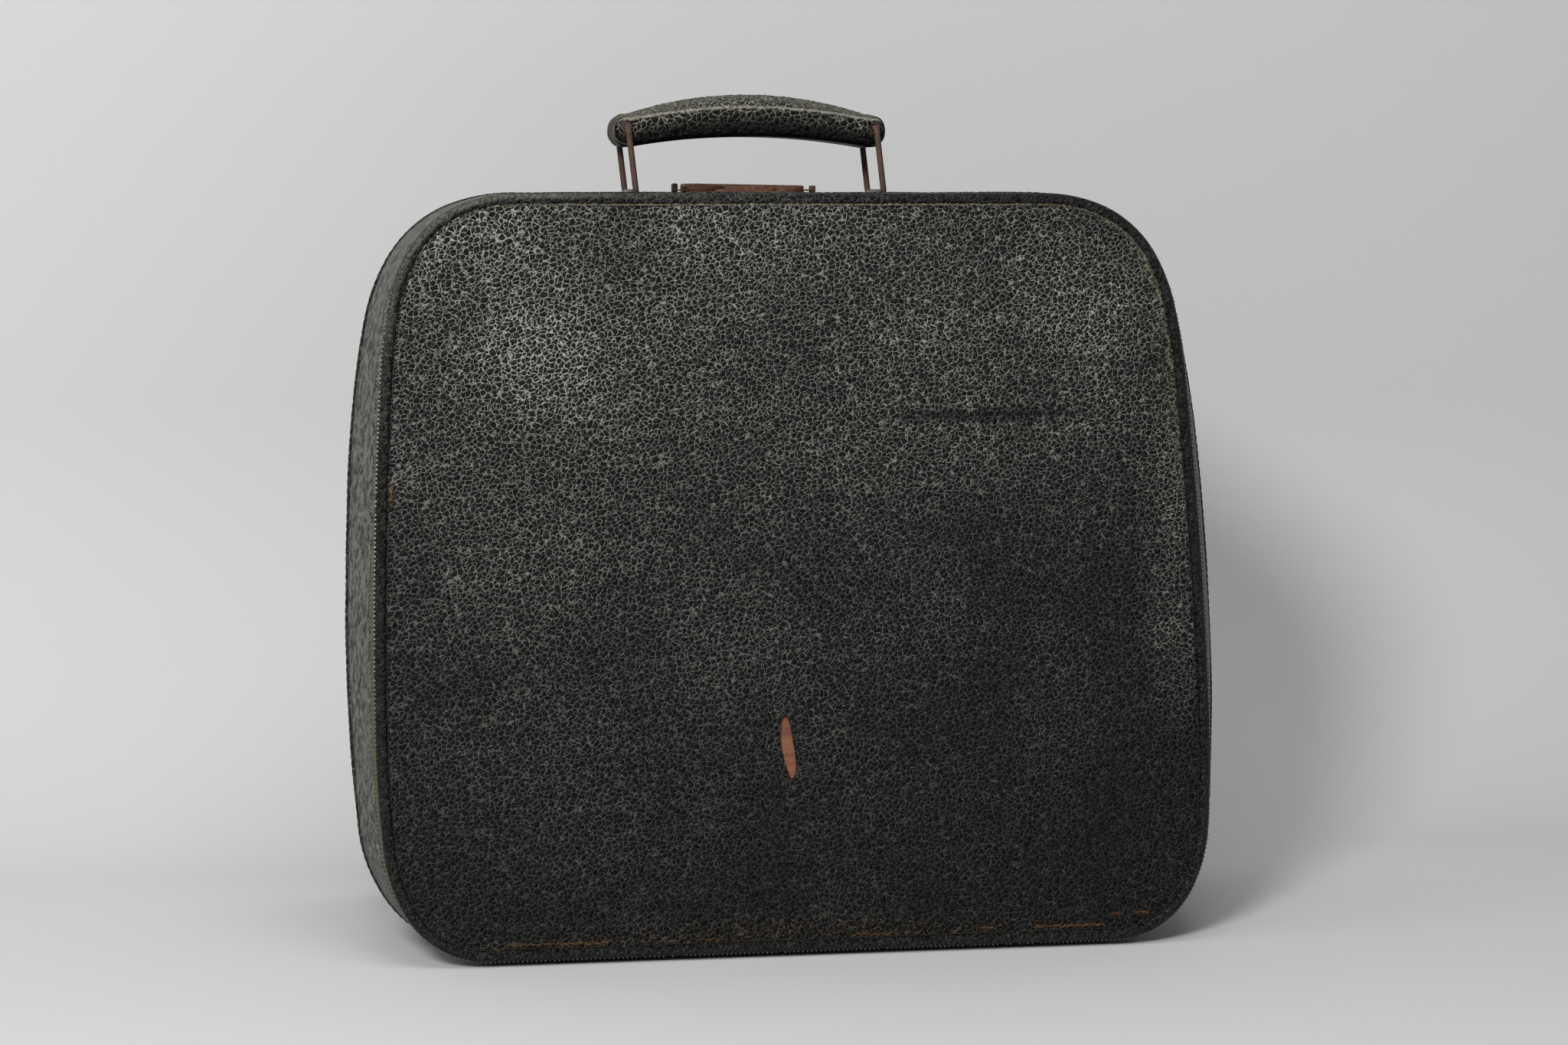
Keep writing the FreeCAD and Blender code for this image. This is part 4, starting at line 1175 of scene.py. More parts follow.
@dataclass(frozen=True)
class Thread:
    """Sewing thread with twisted strands, cleaner inside one soft spot than elsewhere."""

    name: str
    clean: Colour
    dirty: Colour
    amount: float = 0.5
    spot_centre: tuple[float, float, float] = (0.0, 0.0, 0.0)
    spot_radii: tuple[float, float, float] = (0.0, 0.0, 0.0)
    spot_colour: Colour = (0.0, 0.0, 0.0)

    def make(self, groups: GroupBook) -> Material:
        """Builds the material from the shared groups.

        Args:
            groups: The shared shader groups.

        Returns:
            The material.
        """
        kit = FinishKit(self.name, groups)
        mask = kit.dust(70.0, self.amount)
        colour = kit.mix(mask, self.clean, self.dirty)
        if self.spot_radii[0]:
            spot = kit.spot(kit.place, self.spot_centre, self.spot_radii)
            colour = kit.mix(spot, colour, kit.mix(mask, self.spot_colour, self.clean))
        twist = kit.noise(kit.place, 2600.0, 2.0, 0.6)
        colour = kit.scaled(colour, kit.smooth(twist, 0.3, 0.7, 0.65, 1.3))
        return kit.finish(colour, 0.85, twist, 0.0002, Specular_IOR_Level=0.2)


@dataclass(frozen=True)
class RawLeather:
    """Bare fibrous edge of cut leather."""

    name: str = "raw_leather_edge"
    pale: Colour = (0.36, 0.3, 0.2)
    dark: Colour = (0.05, 0.035, 0.02)

    def make(self, groups: GroupBook) -> Material:
        """Builds the material from the shared groups.

        Args:
            groups: The shared shader groups.

        Returns:
            The material.
        """
        kit = FinishKit(self.name, groups)
        fibre = kit.noise(kit.place, 1400.0, 4.0, 0.7)
        colour = kit.mix(kit.times(kit.dust(90.0, 0.6), kit.smooth(fibre, 0.35, 0.65)), self.dark, self.pale)
        return kit.finish(colour, 0.85, fibre, 0.0003)


@dataclass(frozen=True)
class RustySteel:
    """Pressed steel under brown rust."""

    name: str
    ochre: float = 0.45
    dark: float = 0.5
    waves: float = 900.0
    pits: float = 0.14
    clean: float = 0.0
    browning: float = 0.0

    def make(self, groups: GroupBook) -> Material:
        """Builds the material from the shared groups.

        Args:
            groups: The shared shader groups.

        Returns:
            The material.
        """
        kit = FinishKit(self.name, groups)
        rust = kit.group(groups.rust, Waves=self.waves, Ochre=self.ochre, Dark=self.dark)
        rough, metal = rust["Roughness"], 0.0
        brown = kit.smooth(kit.noise(kit.place, 150.0, 3.0), 0.3, 0.7, self.browning, self.browning * 0.6)
        colour = kit.mix(brown, rust["Color"], (0.034, 0.024, 0.021))
        if self.clean:
            metal = kit.dust(90.0, self.clean)
            colour = kit.mix(metal, colour, (0.27, 0.265, 0.26))
            rough = kit.math("SUBTRACT", rough, kit.times(metal, 0.3))
        return kit.finish(colour, rough, rust["Height"], self.pits * MM, Metallic=metal)


@dataclass(frozen=True)
class LiningCloth:
    """Plain woven lining, faded and a little stained."""

    name: str = "woven_lining"
    colour: Colour = (0.115, 0.1, 0.078)

    def make(self, groups: GroupBook) -> Material:
        """Builds the material from the shared groups.

        Args:
            groups: The shared shader groups.

        Returns:
            The material.
        """
        kit = FinishKit(self.name, groups)
        weave = kit.group(groups.weave, Thread=0.0009)
        dark, light = (tuple(value * factor for value in self.colour) for factor in (0.72, 1.25))
        colour = kit.mix(kit.times(kit.dust(9.0, 0.45), 0.45), kit.mix(weave["Over"], dark, light),
                         (0.052, 0.04, 0.028))
        return kit.finish(colour, 0.92, weave["Height"], 0.00022, Sheen_Weight=0.25)


@dataclass(frozen=True)
class Wood:
    """Bare or stained wood with its grain along x."""

    name: str
    pale: Colour
    dark: Colour
    waves: float = 120.0

    def make(self, groups: GroupBook) -> Material:
        """Builds the material from the shared groups.

        Args:
            groups: The shared shader groups.

        Returns:
            The material.
        """
        kit = FinishKit(self.name, groups)
        wood = kit.group(groups.wood, Waves=self.waves)
        colour = kit.mix(wood["Grain"], self.dark, self.pale)
        dusty = kit.mix(kit.times(kit.dust(35.0, 0.4), 0.3), colour, (0.03, 0.02, 0.014))
        return kit.finish(dusty, 0.6, wood["Height"], 0.00016)


@dataclass(frozen=True)
class PlainHard:
    """Dull hard stuff such as rubber, fibre board or tarnished steel, mottled and scratched."""

    name: str
    base: Colour
    worn: Colour
    roughness: float = 0.6
    metallic: float = 0.0
    waves: float = 60.0
    depth: float = 0.08

    def make(self, groups: GroupBook) -> Material:
        """Builds the material from the shared groups.

        Args:
            groups: The shared shader groups.

        Returns:
            The material.
        """
        kit = FinishKit(self.name, groups)
        grain = kit.noise(kit.place, 1200.0, 3.0, 0.6)
        share = kit.math("MAXIMUM", kit.times(kit.dust(self.waves, 0.5), 0.7), kit.marks(55.0, 0.7))
        colour = kit.scaled(kit.mix(share, self.base, self.worn), kit.smooth(grain, 0.3, 0.7, 0.8, 1.2))
        return kit.finish(colour, kit.plus(self.roughness, kit.times(grain, 0.15)), grain, self.depth * MM,
                          Metallic=self.metallic)


class FinishBook:
    """Every finish of the case."""

    def __init__(self) -> None:
        """Makes the shared groups and the materials."""
        groups = GroupBook()
        case = CaseShape()
        self.face = FaceLeather().make(groups)
        self.roll_look = PebbledLeather("rolled_edge_leather", cell=2.2, shift=0.31, amount=0.2, relief=0.9,
                                        gloss=0.3, shine=0.18, masked=True)
        self.roll = self.roll_look.make(groups)
        self.wall = PebbledLeather("wall_leather", shift=0.57, turn=1.2).make(groups)
        self.handle_look = PebbledLeather("handle_leather", cell=2.3, shift=0.83, stretch=1.15, amount=0.72,
                                          relief=0.5, shine=0.08, pebble=(0.0026, 0.003, 0.003),
                                          dust=(0.4, 0.39, 0.31), masked=True)
        self.handle = self.handle_look.make(groups)
        self.band = BandLeather().make(groups)
        self.raw = RawLeather().make(groups)
        self.tan_thread = Thread("tan_thread", (0.024, 0.021, 0.015), (0.007, 0.006, 0.005), 0.5,
                                 case.on_face(10.0, 0.0), (200.0, 60.0, 70.0), (0.21, 0.16, 0.095)).make(groups)
        self.pale_thread = Thread("pale_thread", (0.12, 0.12, 0.11), (0.03, 0.03, 0.028), 0.4,
                                  (-170.0, -40.0, 175.0), (60.0, 90.0, 110.0), (0.6, 0.6, 0.56)).make(groups)
        self.dark_thread = Thread("dark_thread", (0.03, 0.028, 0.022), (0.008, 0.008, 0.007)).make(groups)
        self.worn_thread = Thread("worn_thread", (0.17, 0.085, 0.036), (0.05, 0.028, 0.016), 0.55).make(groups)
        self.rust = RustySteel("rusty_plate", ochre=0.6, browning=0.15).make(groups)
        self.wire = RustySteel("rusty_wire", ochre=0.3, dark=0.7, waves=1300.0, pits=0.07, clean=0.15,
                               browning=0.85).make(groups)
        self.tab = RustySteel("dark_tab", ochre=0.05, dark=1.0, waves=1200.0, pits=0.1, clean=0.3,
                              browning=1.0).make(groups)
        self.fitting = PlainHard("dull_steel", (0.16, 0.155, 0.15), (0.32, 0.31, 0.3), 0.42, 0.85,
                                 depth=0.05).make(groups)
        self.cloth = LiningCloth().make(groups)
        self.ply = Wood("bare_plywood", (0.42, 0.25, 0.12), (0.22, 0.115, 0.05)).make(groups)
        self.board = Wood("stained_board", (0.24, 0.083, 0.036), (0.115, 0.036, 0.018), 220.0).make(groups)
        self.core = Wood("handle_wood", (0.38, 0.24, 0.13), (0.2, 0.11, 0.05)).make(groups)
        self.strip = PlainHard("hard_fibre", (0.02, 0.017, 0.015), (0.09, 0.075, 0.06), 0.55).make(groups)
        self.rubber = PlainHard("old_rubber", (0.02, 0.02, 0.02), (0.075, 0.072, 0.066), 0.7,
                                waves=90.0).make(groups)


# Growth of small things along lines and over points

class GrowthTrees:
    """Geometry node trees for what repeats, and for the grain of thick leather."""

    def __init__(self) -> None:
        """Makes the trees."""
        self.stitch, self.fastener, self.pebbled = self._stitch(), self._fastener(), self._pebbled()

    @staticmethod
    def _start(name: str, **numbers: float) -> GroupKit:
        """Starts a tree that is given a mesh, numbers, a seed and a finish, and gives out a mesh.

        Args:
            name: Name of the tree.
            numbers: Names of the inputs, with their defaults.

        Returns:
            The open tree.
        """
        sizes = {label.replace("_", " "): value for label, value in numbers.items()}
        given = {"Geometry": "Geometry", **sizes, "Seed": 1, "Finish": "Material"}
        return GroupKit(name, "GeometryNodeTree", given, {"Geometry": "Geometry"})

    @staticmethod
    def _end(kit: GroupKit, geometry: Any) -> Tree:
        """Ends a tree: the copies become real and get the finish.

        Args:
            kit: The builder of this node tree.
            geometry: Socket of the finished mesh.

        Returns:
            The node tree.
        """
        real = kit.node("GeometryNodeRealizeInstances", {"Geometry": geometry})
        shade = kit.node("GeometryNodeSetShadeSmooth", {"Geometry": real.outputs[0]})
        result = kit.node("GeometryNodeSetMaterial", {"Geometry": shade.outputs[0],
                                                      "Material": kit.given["Finish"]})
        return kit.put(Geometry=result.outputs[0])

    @staticmethod
    def _chance(kit: GroupKit, low: Any, high: Any, shift: int) -> Socket:
        """Random number or vector for each point between two others, fixed by the seed.

        Args:
            kit: The builder of this node tree.
            low: Lowest value.
            high: Highest value.
            shift: Number added to the seed.

        Returns:
            Socket of the random value.
        """
        vector = isinstance(low, tuple)
        first = 0 if vector else 2
        seed = kit.plus(kit.given["Seed"], float(shift))
        node = kit.node("FunctionNodeRandomValue", {first: low, first + 1: high, "Seed": seed},
                        data_type="FLOAT_VECTOR" if vector else "FLOAT")
        return node.outputs[0 if vector else 1]

    @staticmethod
    def _ball(kit: GroupKit, segments: int, rings: int) -> Socket:
        """Ball with a radius of one."""
        return kit.node("GeometryNodeMeshUVSphere", {"Segments": segments, "Rings": rings,
                                                     "Radius": 1.0}).outputs["Mesh"]

    @staticmethod
    def _lifted(kit: GroupKit, shape: Any, height: Any) -> Socket:
        """Shape moved up by a height."""
        return kit.node("GeometryNodeTransform", {"Geometry": shape,
                                                  "Translation": kit.joined(0.0, 0.0, height)}).outputs[0]

    def _aimed(self, kit: GroupKit, shape: Any, sizes: Any, keep: Any) -> Tree:
        """Copies a shape onto the points, its z axis along the stored direction and a little off it.

        Args:
            kit: The builder of this node tree.
            shape: Socket of the shape that is copied.
            sizes: Size of each copy.
            keep: Which points get a copy.

        Returns:
            The node tree.
        """
        direction = kit.node("GeometryNodeInputNamedAttribute", {"Name": "direction"}, data_type="FLOAT_VECTOR")
        stray = self._chance(kit, (-1.0, -1.0, -1.0), (1.0, 1.0, 1.0), 11)
        aim = kit.vector("ADD", direction.outputs[0], kit.scaled(stray, kit.given["Stray"]))
        align = kit.node("FunctionNodeAlignRotationToVector", {"Vector": aim}, axis="Z")
        copies = kit.node("GeometryNodeInstanceOnPoints", {
            "Points": kit.given["Geometry"], "Selection": keep, "Instance": shape,
            "Rotation": align.outputs[0], "Scale": sizes})
        return self._end(kit, copies.outputs[0])

    def _stitch(self) -> Tree:
        """Stitches: short full threads on points, some of them missing.

        Returns:
            The node tree.
        """
        kit = self._start("stitches", Length=0.0018, Radius=0.0003, Missing=0.05, Stray=0.1, Uneven=0.2)
        keep = kit.math("GREATER_THAN", self._chance(kit, 0.0, 1.0, 3), kit.given["Missing"])
        uneven, radius = kit.given["Uneven"], kit.given["Radius"]
        vary = self._chance(kit, kit.math("SUBTRACT", 1.0, uneven), kit.plus(1.0, uneven), 5)
        sizes = kit.joined(radius, radius, kit.times(kit.given["Length"], 0.5, vary))
        return self._aimed(kit, self._ball(kit, 7, 5), sizes, keep)

    def _fastener(self) -> Tree:
        """Rivets, nails and screws: a domed head on a shank, with a slot of a given width or none.

        Returns:
            The node tree.
        """
        kit = self._start("fasteners", Head_Radius=0.0023, Head_Height=0.0007, Shank_Radius=0.0011,
                          Shank_Length=0.006, Slot=0.0, Stray=0.03)
        radius, height = kit.given["Head Radius"], kit.given["Head Height"]
        length, width = kit.given["Shank Length"], kit.given["Slot"]
        part = kit.split(kit.node("GeometryNodeInputPosition").outputs[0])
        dome = kit.joined(kit.times(part["X"], radius), kit.times(part["Y"], radius),
                          kit.times(kit.math("MAXIMUM", part["Z"], -0.04), height))
        ball = self._ball(kit, 24, 14)
        head = kit.node("GeometryNodeSetPosition", {"Geometry": ball, "Position": dome}).outputs[0]
        size = kit.joined(kit.times(radius, 3.0), kit.math("MAXIMUM", width, 0.0001), height)
        slot = kit.node("GeometryNodeMeshCube", {"Size": size}).outputs["Mesh"]
        cut = kit.node("GeometryNodeMeshBoolean", {
            "Mesh 1": head, "Mesh 2": self._lifted(kit, slot, kit.times(height, 1.02))}, operation="DIFFERENCE")
        choose = kit.node("GeometryNodeSwitch", {
            "Switch": kit.math("GREATER_THAN", width, 0.00001), "False": head, "True": cut.outputs["Mesh"]},
            input_type="GEOMETRY")
        shank = kit.node("GeometryNodeMeshCylinder", {"Vertices": 12, "Radius": kit.given["Shank Radius"],
                                                      "Depth": length}).outputs["Mesh"]
        both = kit.node("GeometryNodeJoinGeometry")
        for shape in (choose.outputs[0], self._lifted(kit, shank, kit.times(length, -0.5))):
            kit.feed(both.inputs[0], shape)
        return self._aimed(kit, both.outputs[0], (1.0, 1.0, 1.0), True)

    def _pebbled(self) -> Tree:
        """Raises the pebbles of thick leather along its normals, where its relief mask says so.

        Returns:
            The node tree.
        """
        kit = self._start("pebbled form", Cell=0.0026, Turn=0.6, Stretch=1.3, Shift=0.0, Rise=0.0002)
        height = pebble_nodes(kit, kit.node("GeometryNodeInputPosition").outputs[0])[0]
        relief = kit.node("GeometryNodeInputNamedAttribute", {"Name": "relief"}, data_type="FLOAT").outputs[0]
        lift = kit.times(kit.math("SUBTRACT", height, 0.8), kit.given["Rise"], relief)
        offset = kit.scaled(kit.node("GeometryNodeInputNormal").outputs[0], lift)
        return self._end(kit, kit.node("GeometryNodeSetPosition", {"Geometry": kit.given["Geometry"],
                                                                   "Offset": offset}).outputs[0])


def grow(piece: Piece, tree: Tree, finish: Material, **values: Any) -> Piece:
    """Runs a growth tree on a piece and keeps the result as its plain mesh.

    Args:
        piece: The piece.
        tree: The tree.
        finish: Material of the result.
        **values: Value of each named input, with low lines for blanks.

    Returns:
        The same piece.
    """
    growth = piece.modifiers.new("growth", "NODES")
    growth.node_group = tree
    values["Finish"] = finish
    for item in tree.interface.items_tree:
        key = item.name.replace(" ", "_")
        if item.in_out == "INPUT" and key in values:
            growth[item.identifier] = values[key]
    plain_mesh(piece)
    piece.data.materials.clear()
    piece.data.materials.append(finish)
    return piece


def seeds(name: str, places: Sequence, directions: Array) -> Piece:
    """Bare points in millimetres, each with a direction, for a growth tree.

    Args:
        name: Name of the object.
        places: Points, in millimetres.
        directions: Direction at each point.

    Returns:
        The object.
    """
    mesh = bpy.data.meshes.new(name)
    mesh.from_pydata((np.asarray(places) * MM).tolist(), [], [])
    aim = mesh.attributes.new("direction", "FLOAT_VECTOR", "POINT")
    aim.data.foreach_set("vector", np.asarray(directions, dtype=np.float32).ravel())
    return linked(name, mesh)


@dataclass(frozen=True)
class Fastener:
    """One kind of rivet, nail or screw."""

    head_radius: float
    head_height: float
    shank_radius: float
    shank_length: float
    slot: float = 0.0
    stray: float = 0.02

    def driven(self, name: str, places: Sequence[Sequence[float]], outward: Sequence[float], trees: GrowthTrees,
               finish: Material) -> Piece:
        """Sets one at each place, its head outwards.

        Args:
            name: Name of the piece.
            places: Where the heads are seated.
            outward: Direction that the heads face.
            trees: The growth trees.
            finish: Material.

        Returns:
            The fasteners as one piece.
        """
        aims = np.tile(np.asarray(outward, dtype=float), (len(places), 1))
        return grow(seeds(name, places, aims), trees.fastener, finish, Head_Radius=self.head_radius * MM,
                    Head_Height=self.head_height * MM, Shank_Radius=self.shank_radius * MM,
                    Shank_Length=self.shank_length * MM, Slot=self.slot * MM, Stray=self.stray, Seed=3)


# The pieces of the case

@dataclass
class Workshop:
    """What every sub-assembly needs: the shape, the finishes and the growth trees."""

    case: CaseShape
    finish: FinishBook
    trees: GrowthTrees
    roll_profile: tuple[tuple[float, float], ...] = (
        (0.0, 2.1), (0.03, 1.55), (0.2, 1.02), (0.55, 0.56), (1.0, 0.24), (1.6, 0.05), (2.3, 0.0), (3.0, 0.08),
        (3.6, 0.32), (4.05, 0.68), (4.4, 1.12), (4.6, 1.55), (4.6, 2.1), (2.3, 2.1))
    roll_relief: float = 0.5
    wall_spacing: float = 1.4
    lining_spacing: float = 2.4
    seam_spacing: float = 1.2
    edge_pitch: float = 1.8
    bare_top: float = 38.0
    hinge_room: tuple[float, float, float] = (21.4, 2.1, 4.1)

    def dress(self, finish: Material, *nodes: str) -> None:
        """Gives solids that are shown as they are their finish.

        Args:
            finish: The material.
            nodes: Names of the nodes.
        """
        for node in nodes:
            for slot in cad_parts[node].material_slots:
                slot.material = finish
            LOG.info("%s keeps its solid, finish %s", node, finish.name)

    def fasten(self, body: str, node: str, name: str, kind: Fastener, places: Sequence[Sequence[float]],
               up: float = 0.0, back: float = 0.0, rusty: bool = True) -> None:
        """Drives fasteners of one kind in the place of a node.

        Args:
            body: Body that they move with.
            node: The node.
            name: Name of the piece.
            kind: The fastener.
            places: Where the heads are seated.
            up: Upward part of the direction that the heads face.
            back: Backward part of it.
            rusty: Whether they are rusty or dull steel.
        """
        finish = self.finish.rust if rusty else self.finish.fitting
        piece = kind.driven(name, places, (0.0, back, up), self.trees, finish)
        place_piece(piece, body, "rusty_steel", node)

    def sewn(self, name: str, thread: Material, seed: int, run: tuple[Array, Array], length: float,
             radius: float, missing: float = 0.1, stray: float = 0.12, uneven: float = 0.25) -> Piece:
        """Sews stitches of one kind.

        Args:
            name: Name of the piece.
            thread: Material of the thread.
            seed: Number that fixes the wear.
            run: Places of the stitches and the direction of each.
            length: Length of a stitch.
            radius: Radius of its thread.
            missing: Share of stitches that are gone.
            stray: How far they lie off their direction.
            uneven: How much their lengths differ.

        Returns:
            The stitches as one piece.
        """
        return grow(seeds(name, *run), self.trees.stitch, thread, Length=length * MM, Radius=radius * MM,
                    Missing=missing, Stray=stray, Uneven=uneven, Seed=seed)

    def rolled(self, name: str, plane: Callable[[float], Station], spacing: float, wear: Callable) -> Piece:
        """Rolled pebbled edge round a panel.

        Args:
            name: Name of the piece.
            plane: Gives the plane at a depth behind the crest.
            spacing: Rough distance between points.
            wear: Gives the relief, the dust (with painted light on the face's edge) and the pale ridges
                (painted highlights there) of a loop from its points, its inset and its crest.

        Returns:
            The edge.
        """
        loops, marks = [], []
        for inset, depth in self.roll_profile:
            loop = plane(depth).loop(inset, spacing)
            crest = float(rise(2.1 - depth, 0.4, 1.4)) if inset < self.case.roll_width - 0.1 else 0.0
            loops.append(loop)
            marks.append(wear(loop, inset, crest))
        piece = swept(name, loops, self.finish.roll)
        relief, dusty, ridge = zip(*marks)
        add_masks(piece, relief=relief, dusty=dusty, ridge=ridge)
        return self.finish.roll_look.raised(piece, self.trees, self.roll_relief)

    def groove_stitches(self, name: str, station: Station, seed: int) -> Piece:
        """Stitches in the groove inside a rolled edge."""
        run = even_steps(station.loop(self.case.roll_width + 0.15, self.seam_spacing), 2.4)
        return self.sewn(name, self.finish.tan_thread, seed, run, 2.5, 0.25, 0.05, 0.09, 0.2)

    def hinge_rooms(self) -> list[Shape]:
        """Shapes of the room for the knuckles of both hinges.

        Returns:
            The shapes.
        """
        half_x, half_y, top = self.hinge_room
        y = self.case.parting_y
        return [block((x - half_x, y - half_y, -2.0), (x + half_x, y + half_y, top)) for x in self.case.hinges]


def inward(loop: Array) -> Array:
    """Direction towards the inside of a loop at each point, in its upright plane.

    Args:
        loop: Closed loop of points.

    Returns:
        The directions.
    """
    ahead = np.roll(loop, -1, 0) - np.roll(loop, 1, 0)
    side = np.stack([ahead[:, 2], np.zeros(len(loop)), -ahead[:, 0]], -1)
    return side / np.linalg.norm(side, axis=1, keepdims=True)


@dataclass
class LeatherLid:
    """The deep half: leather face, rolled edge, band, welt, wall, linings and their stitches."""

    shop: Workshop
    sheet_spacing: float = 1.25
    sheet_columns: int = 263
    pillow: float = 0.55
    tear_middle: tuple[float, float] = (-5.6, 222.9)
    tear_length: float = 25.9
    tear_tilt: float = 5.0
    tear_left: tuple[float, ...] = (0.3, 1.5, 2.1, 2.75, 2.85, 2.4, 1.75, 0.8, 0.2, 0.0)
    tear_right: tuple[float, ...] = (0.3, 1.3, 1.9, 2.5, 2.75, 2.85, 2.7, 2.1, 1.2, 0.1)
    tear_steps: tuple[float, ...] = (0.0, 0.03, 0.1, 0.29, 0.49, 0.63, 0.77, 0.9, 0.945, 1.0)
    crease_ends: tuple[tuple[float, float], ...] = ((36.0, 91.0), (126.0, 89.5))
    roll_spacing: float = 0.72
    band_depths: tuple[float, ...] = (
        2.1, 2.35, 2.8, 3.4, 4.0, 4.7, 5.5, 7.0, 9.5, 12.5, 15.5, 18.5, 21.5, 24.0, 25.8)
    band_inside: tuple[float, ...] = (25.8, 14.0, 2.1)
    welt_profile: tuple[tuple[float, float], ...] = (
        (1.2, 0.0), (0.4, 0.0), (-0.25, 0.12), (-0.65, 0.55), (-0.8, 1.1), (-0.72, 1.6), (-0.4, 2.1),
        (0.2, 2.4), (1.2, 2.4))
    welt_spacing: float = 0.8
    welt_pitch: float = 3.4
    saddle_rooms: tuple[tuple[float, float, float], ...] = (
        (11.2, 11.2, 0.0), (5.4, 2.3, -15.875), (5.4, 2.3, 15.875))
    frayed_spans: tuple[tuple[float, float, float], ...] = (
        (-119.4, -101.7, 298.6), (-99.2, -79.6, 298.9), (-55.9, -51.1, 299.2), (-40.7, -33.7, 299.2),
        (18.4, 35.5, 299.2), (39.5, 47.0, 299.2), (68.7, 75.9, 298.2), (93.5, 121.3, 298.6),
        (125.3, 129.8, 294.6), (134.5, 140.3, 294.2))

    def build(self) -> None:
        """Builds every piece of the lid."""
        finish = self.shop.finish
        for make, node, slot in (
                (self.face_sheet, "lid_front_cover", "black_leather"),
                (self.rolled_edge, "lid_front_roll", "black_leather"),
                (self.band, "lid_band_cover", "grey_leather"), (self.welt, "lid_welt", "black_leather"),
                (self.wall, "lid_wall_cover", "black_leather"),
                (self.wall_lining, "lid_wall_lining", "lining_cloth"),
                (self.front_lining, "lid_front_lining", "lining_cloth")):
            place_piece(make(), "lid", slot, node)
        for piece in self.stitches():
            place_piece(piece, "lid", "black_leather")
        self.shop.dress(finish.ply, "lid_frame")
        self.shop.dress(finish.board, "lid_front_board")
        self.shop.dress(finish.rust, "left_backing_plate", "right_backing_plate")

    def face_depth(self, xs: Array, drops: Array) -> Array:
        """Depth of the leather face behind the crest of the rolled edge: a low pillow with old unevenness.

        Args:
            xs: Places along x.
            drops: Ways down the face from its top edge.

        Returns:
            The depths.
        """
        edge = edge_distance(xs, drops)
        places = np.stack([xs, np.zeros_like(xs), drops], -1)
        puff = self.pillow * (1 - np.exp(-edge / 16.0)) + 0.12 * rise(edge, 2.0, 30.0) * waves(places, 70.0, 5)
        return self.shop.case.roll_stand - puff * rise(edge, 0.0, 6.0) + 0.12 * np.exp(-edge / 1.3)

    def crease_mark(self, xs: Array, drops: Array) -> Array:
        """Mask of the old straight crease in the upper right of the face.

        Args:
            xs: Places along x.
            drops: Ways down the face from its top edge.

        Returns:
            The mask.
        """
        start, end = np.array(self.crease_ends)
        run = end - start
        length = float(np.linalg.norm(run))
        away = np.stack([xs - start[0], drops - start[1]], -1)
        along = (away @ run) / length
        off = np.abs(away[..., 0] * run[1] - away[..., 1] * run[0]) / length
        return np.exp(-(off / 2.6) ** 2) * rise(along, -4.0, 18.0) * rise(along, length + 4.0, length - 18.0)

    def face_sheet(self) -> Piece:
        """Pebbled leather of the face, torn open over the board.

        Returns:
            The piece.
        """
        case = self.shop.case
        station = case.lid_station(0.0)
        xs, drops = panel_grid(station, case.roll_width - 0.5, self.sheet_spacing, self.sheet_columns)
        tilt = math.radians(self.tear_tilt)
        middle_x, middle_drop = self.tear_middle
        half = self.tear_length / 2 * math.cos(tilt)
        column = int(np.argmin(np.abs(xs[len(xs) // 2] - middle_x)))
        line = xs[:, column]
        down = drops[:, 0] - middle_drop
        target = middle_x + np.clip(down, -half, half) * math.tan(tilt)
        fade = rise(np.abs(down), half + 22.0, half)
        xs = xs + ((target - line) * fade)[:, None] * np.exp(-((xs - line[:, None]) / 20.0) ** 2)
        share = (down + half) / (2 * half)
        inside = (share > 0.0) & (share < 1.0)
        ragged = 0.14 * waves(drops[:, :1] * np.array([0.0, 0.0, 1.0]), 5.0, 21)
        left, right = (np.where(inside, np.interp(share, self.tear_steps, widths), 0.0)
                       for widths in (self.tear_left, self.tear_right))
        left = np.maximum(left + ragged * (left > 0.5), 0.0)
        right = np.maximum(right - ragged * (right > 0.5), 0.0)
        axis = xs[:, column]
        side = xs - axis[:, None]
        reach = np.exp(-np.abs(side) / 5.5) * (side != 0)
        opened = xs + np.where(side < 0, -left[:, None], right[:, None]) * reach
        width = np.maximum(left, right)[:, None]
        curl = 0.28 * np.exp(-np.abs(side) / 1.6) * np.minimum(width / 2.0, 1.0)
        depth = self.face_depth(xs, drops) + 0.3 * self.crease_mark(xs, drops) - curl
        slit = np.nonzero(inside)[0]
        opened[slit, column] = axis[slit] - left[slit]
        points = station.place(opened, drops, depth)
        right_edge = station.place(axis[slit] + right[slit], drops[slit, 0], depth[slit, column])
        piece = self.close_sheet(points, right_edge, slit, column)
        rest = np.zeros(len(piece.data.vertices) - xs.size)
        add_masks(piece, rim=(np.exp(-edge_distance(xs, drops) / 1.5), rest),
                  old_crease=(self.crease_mark(xs, drops), rest))
        return piece

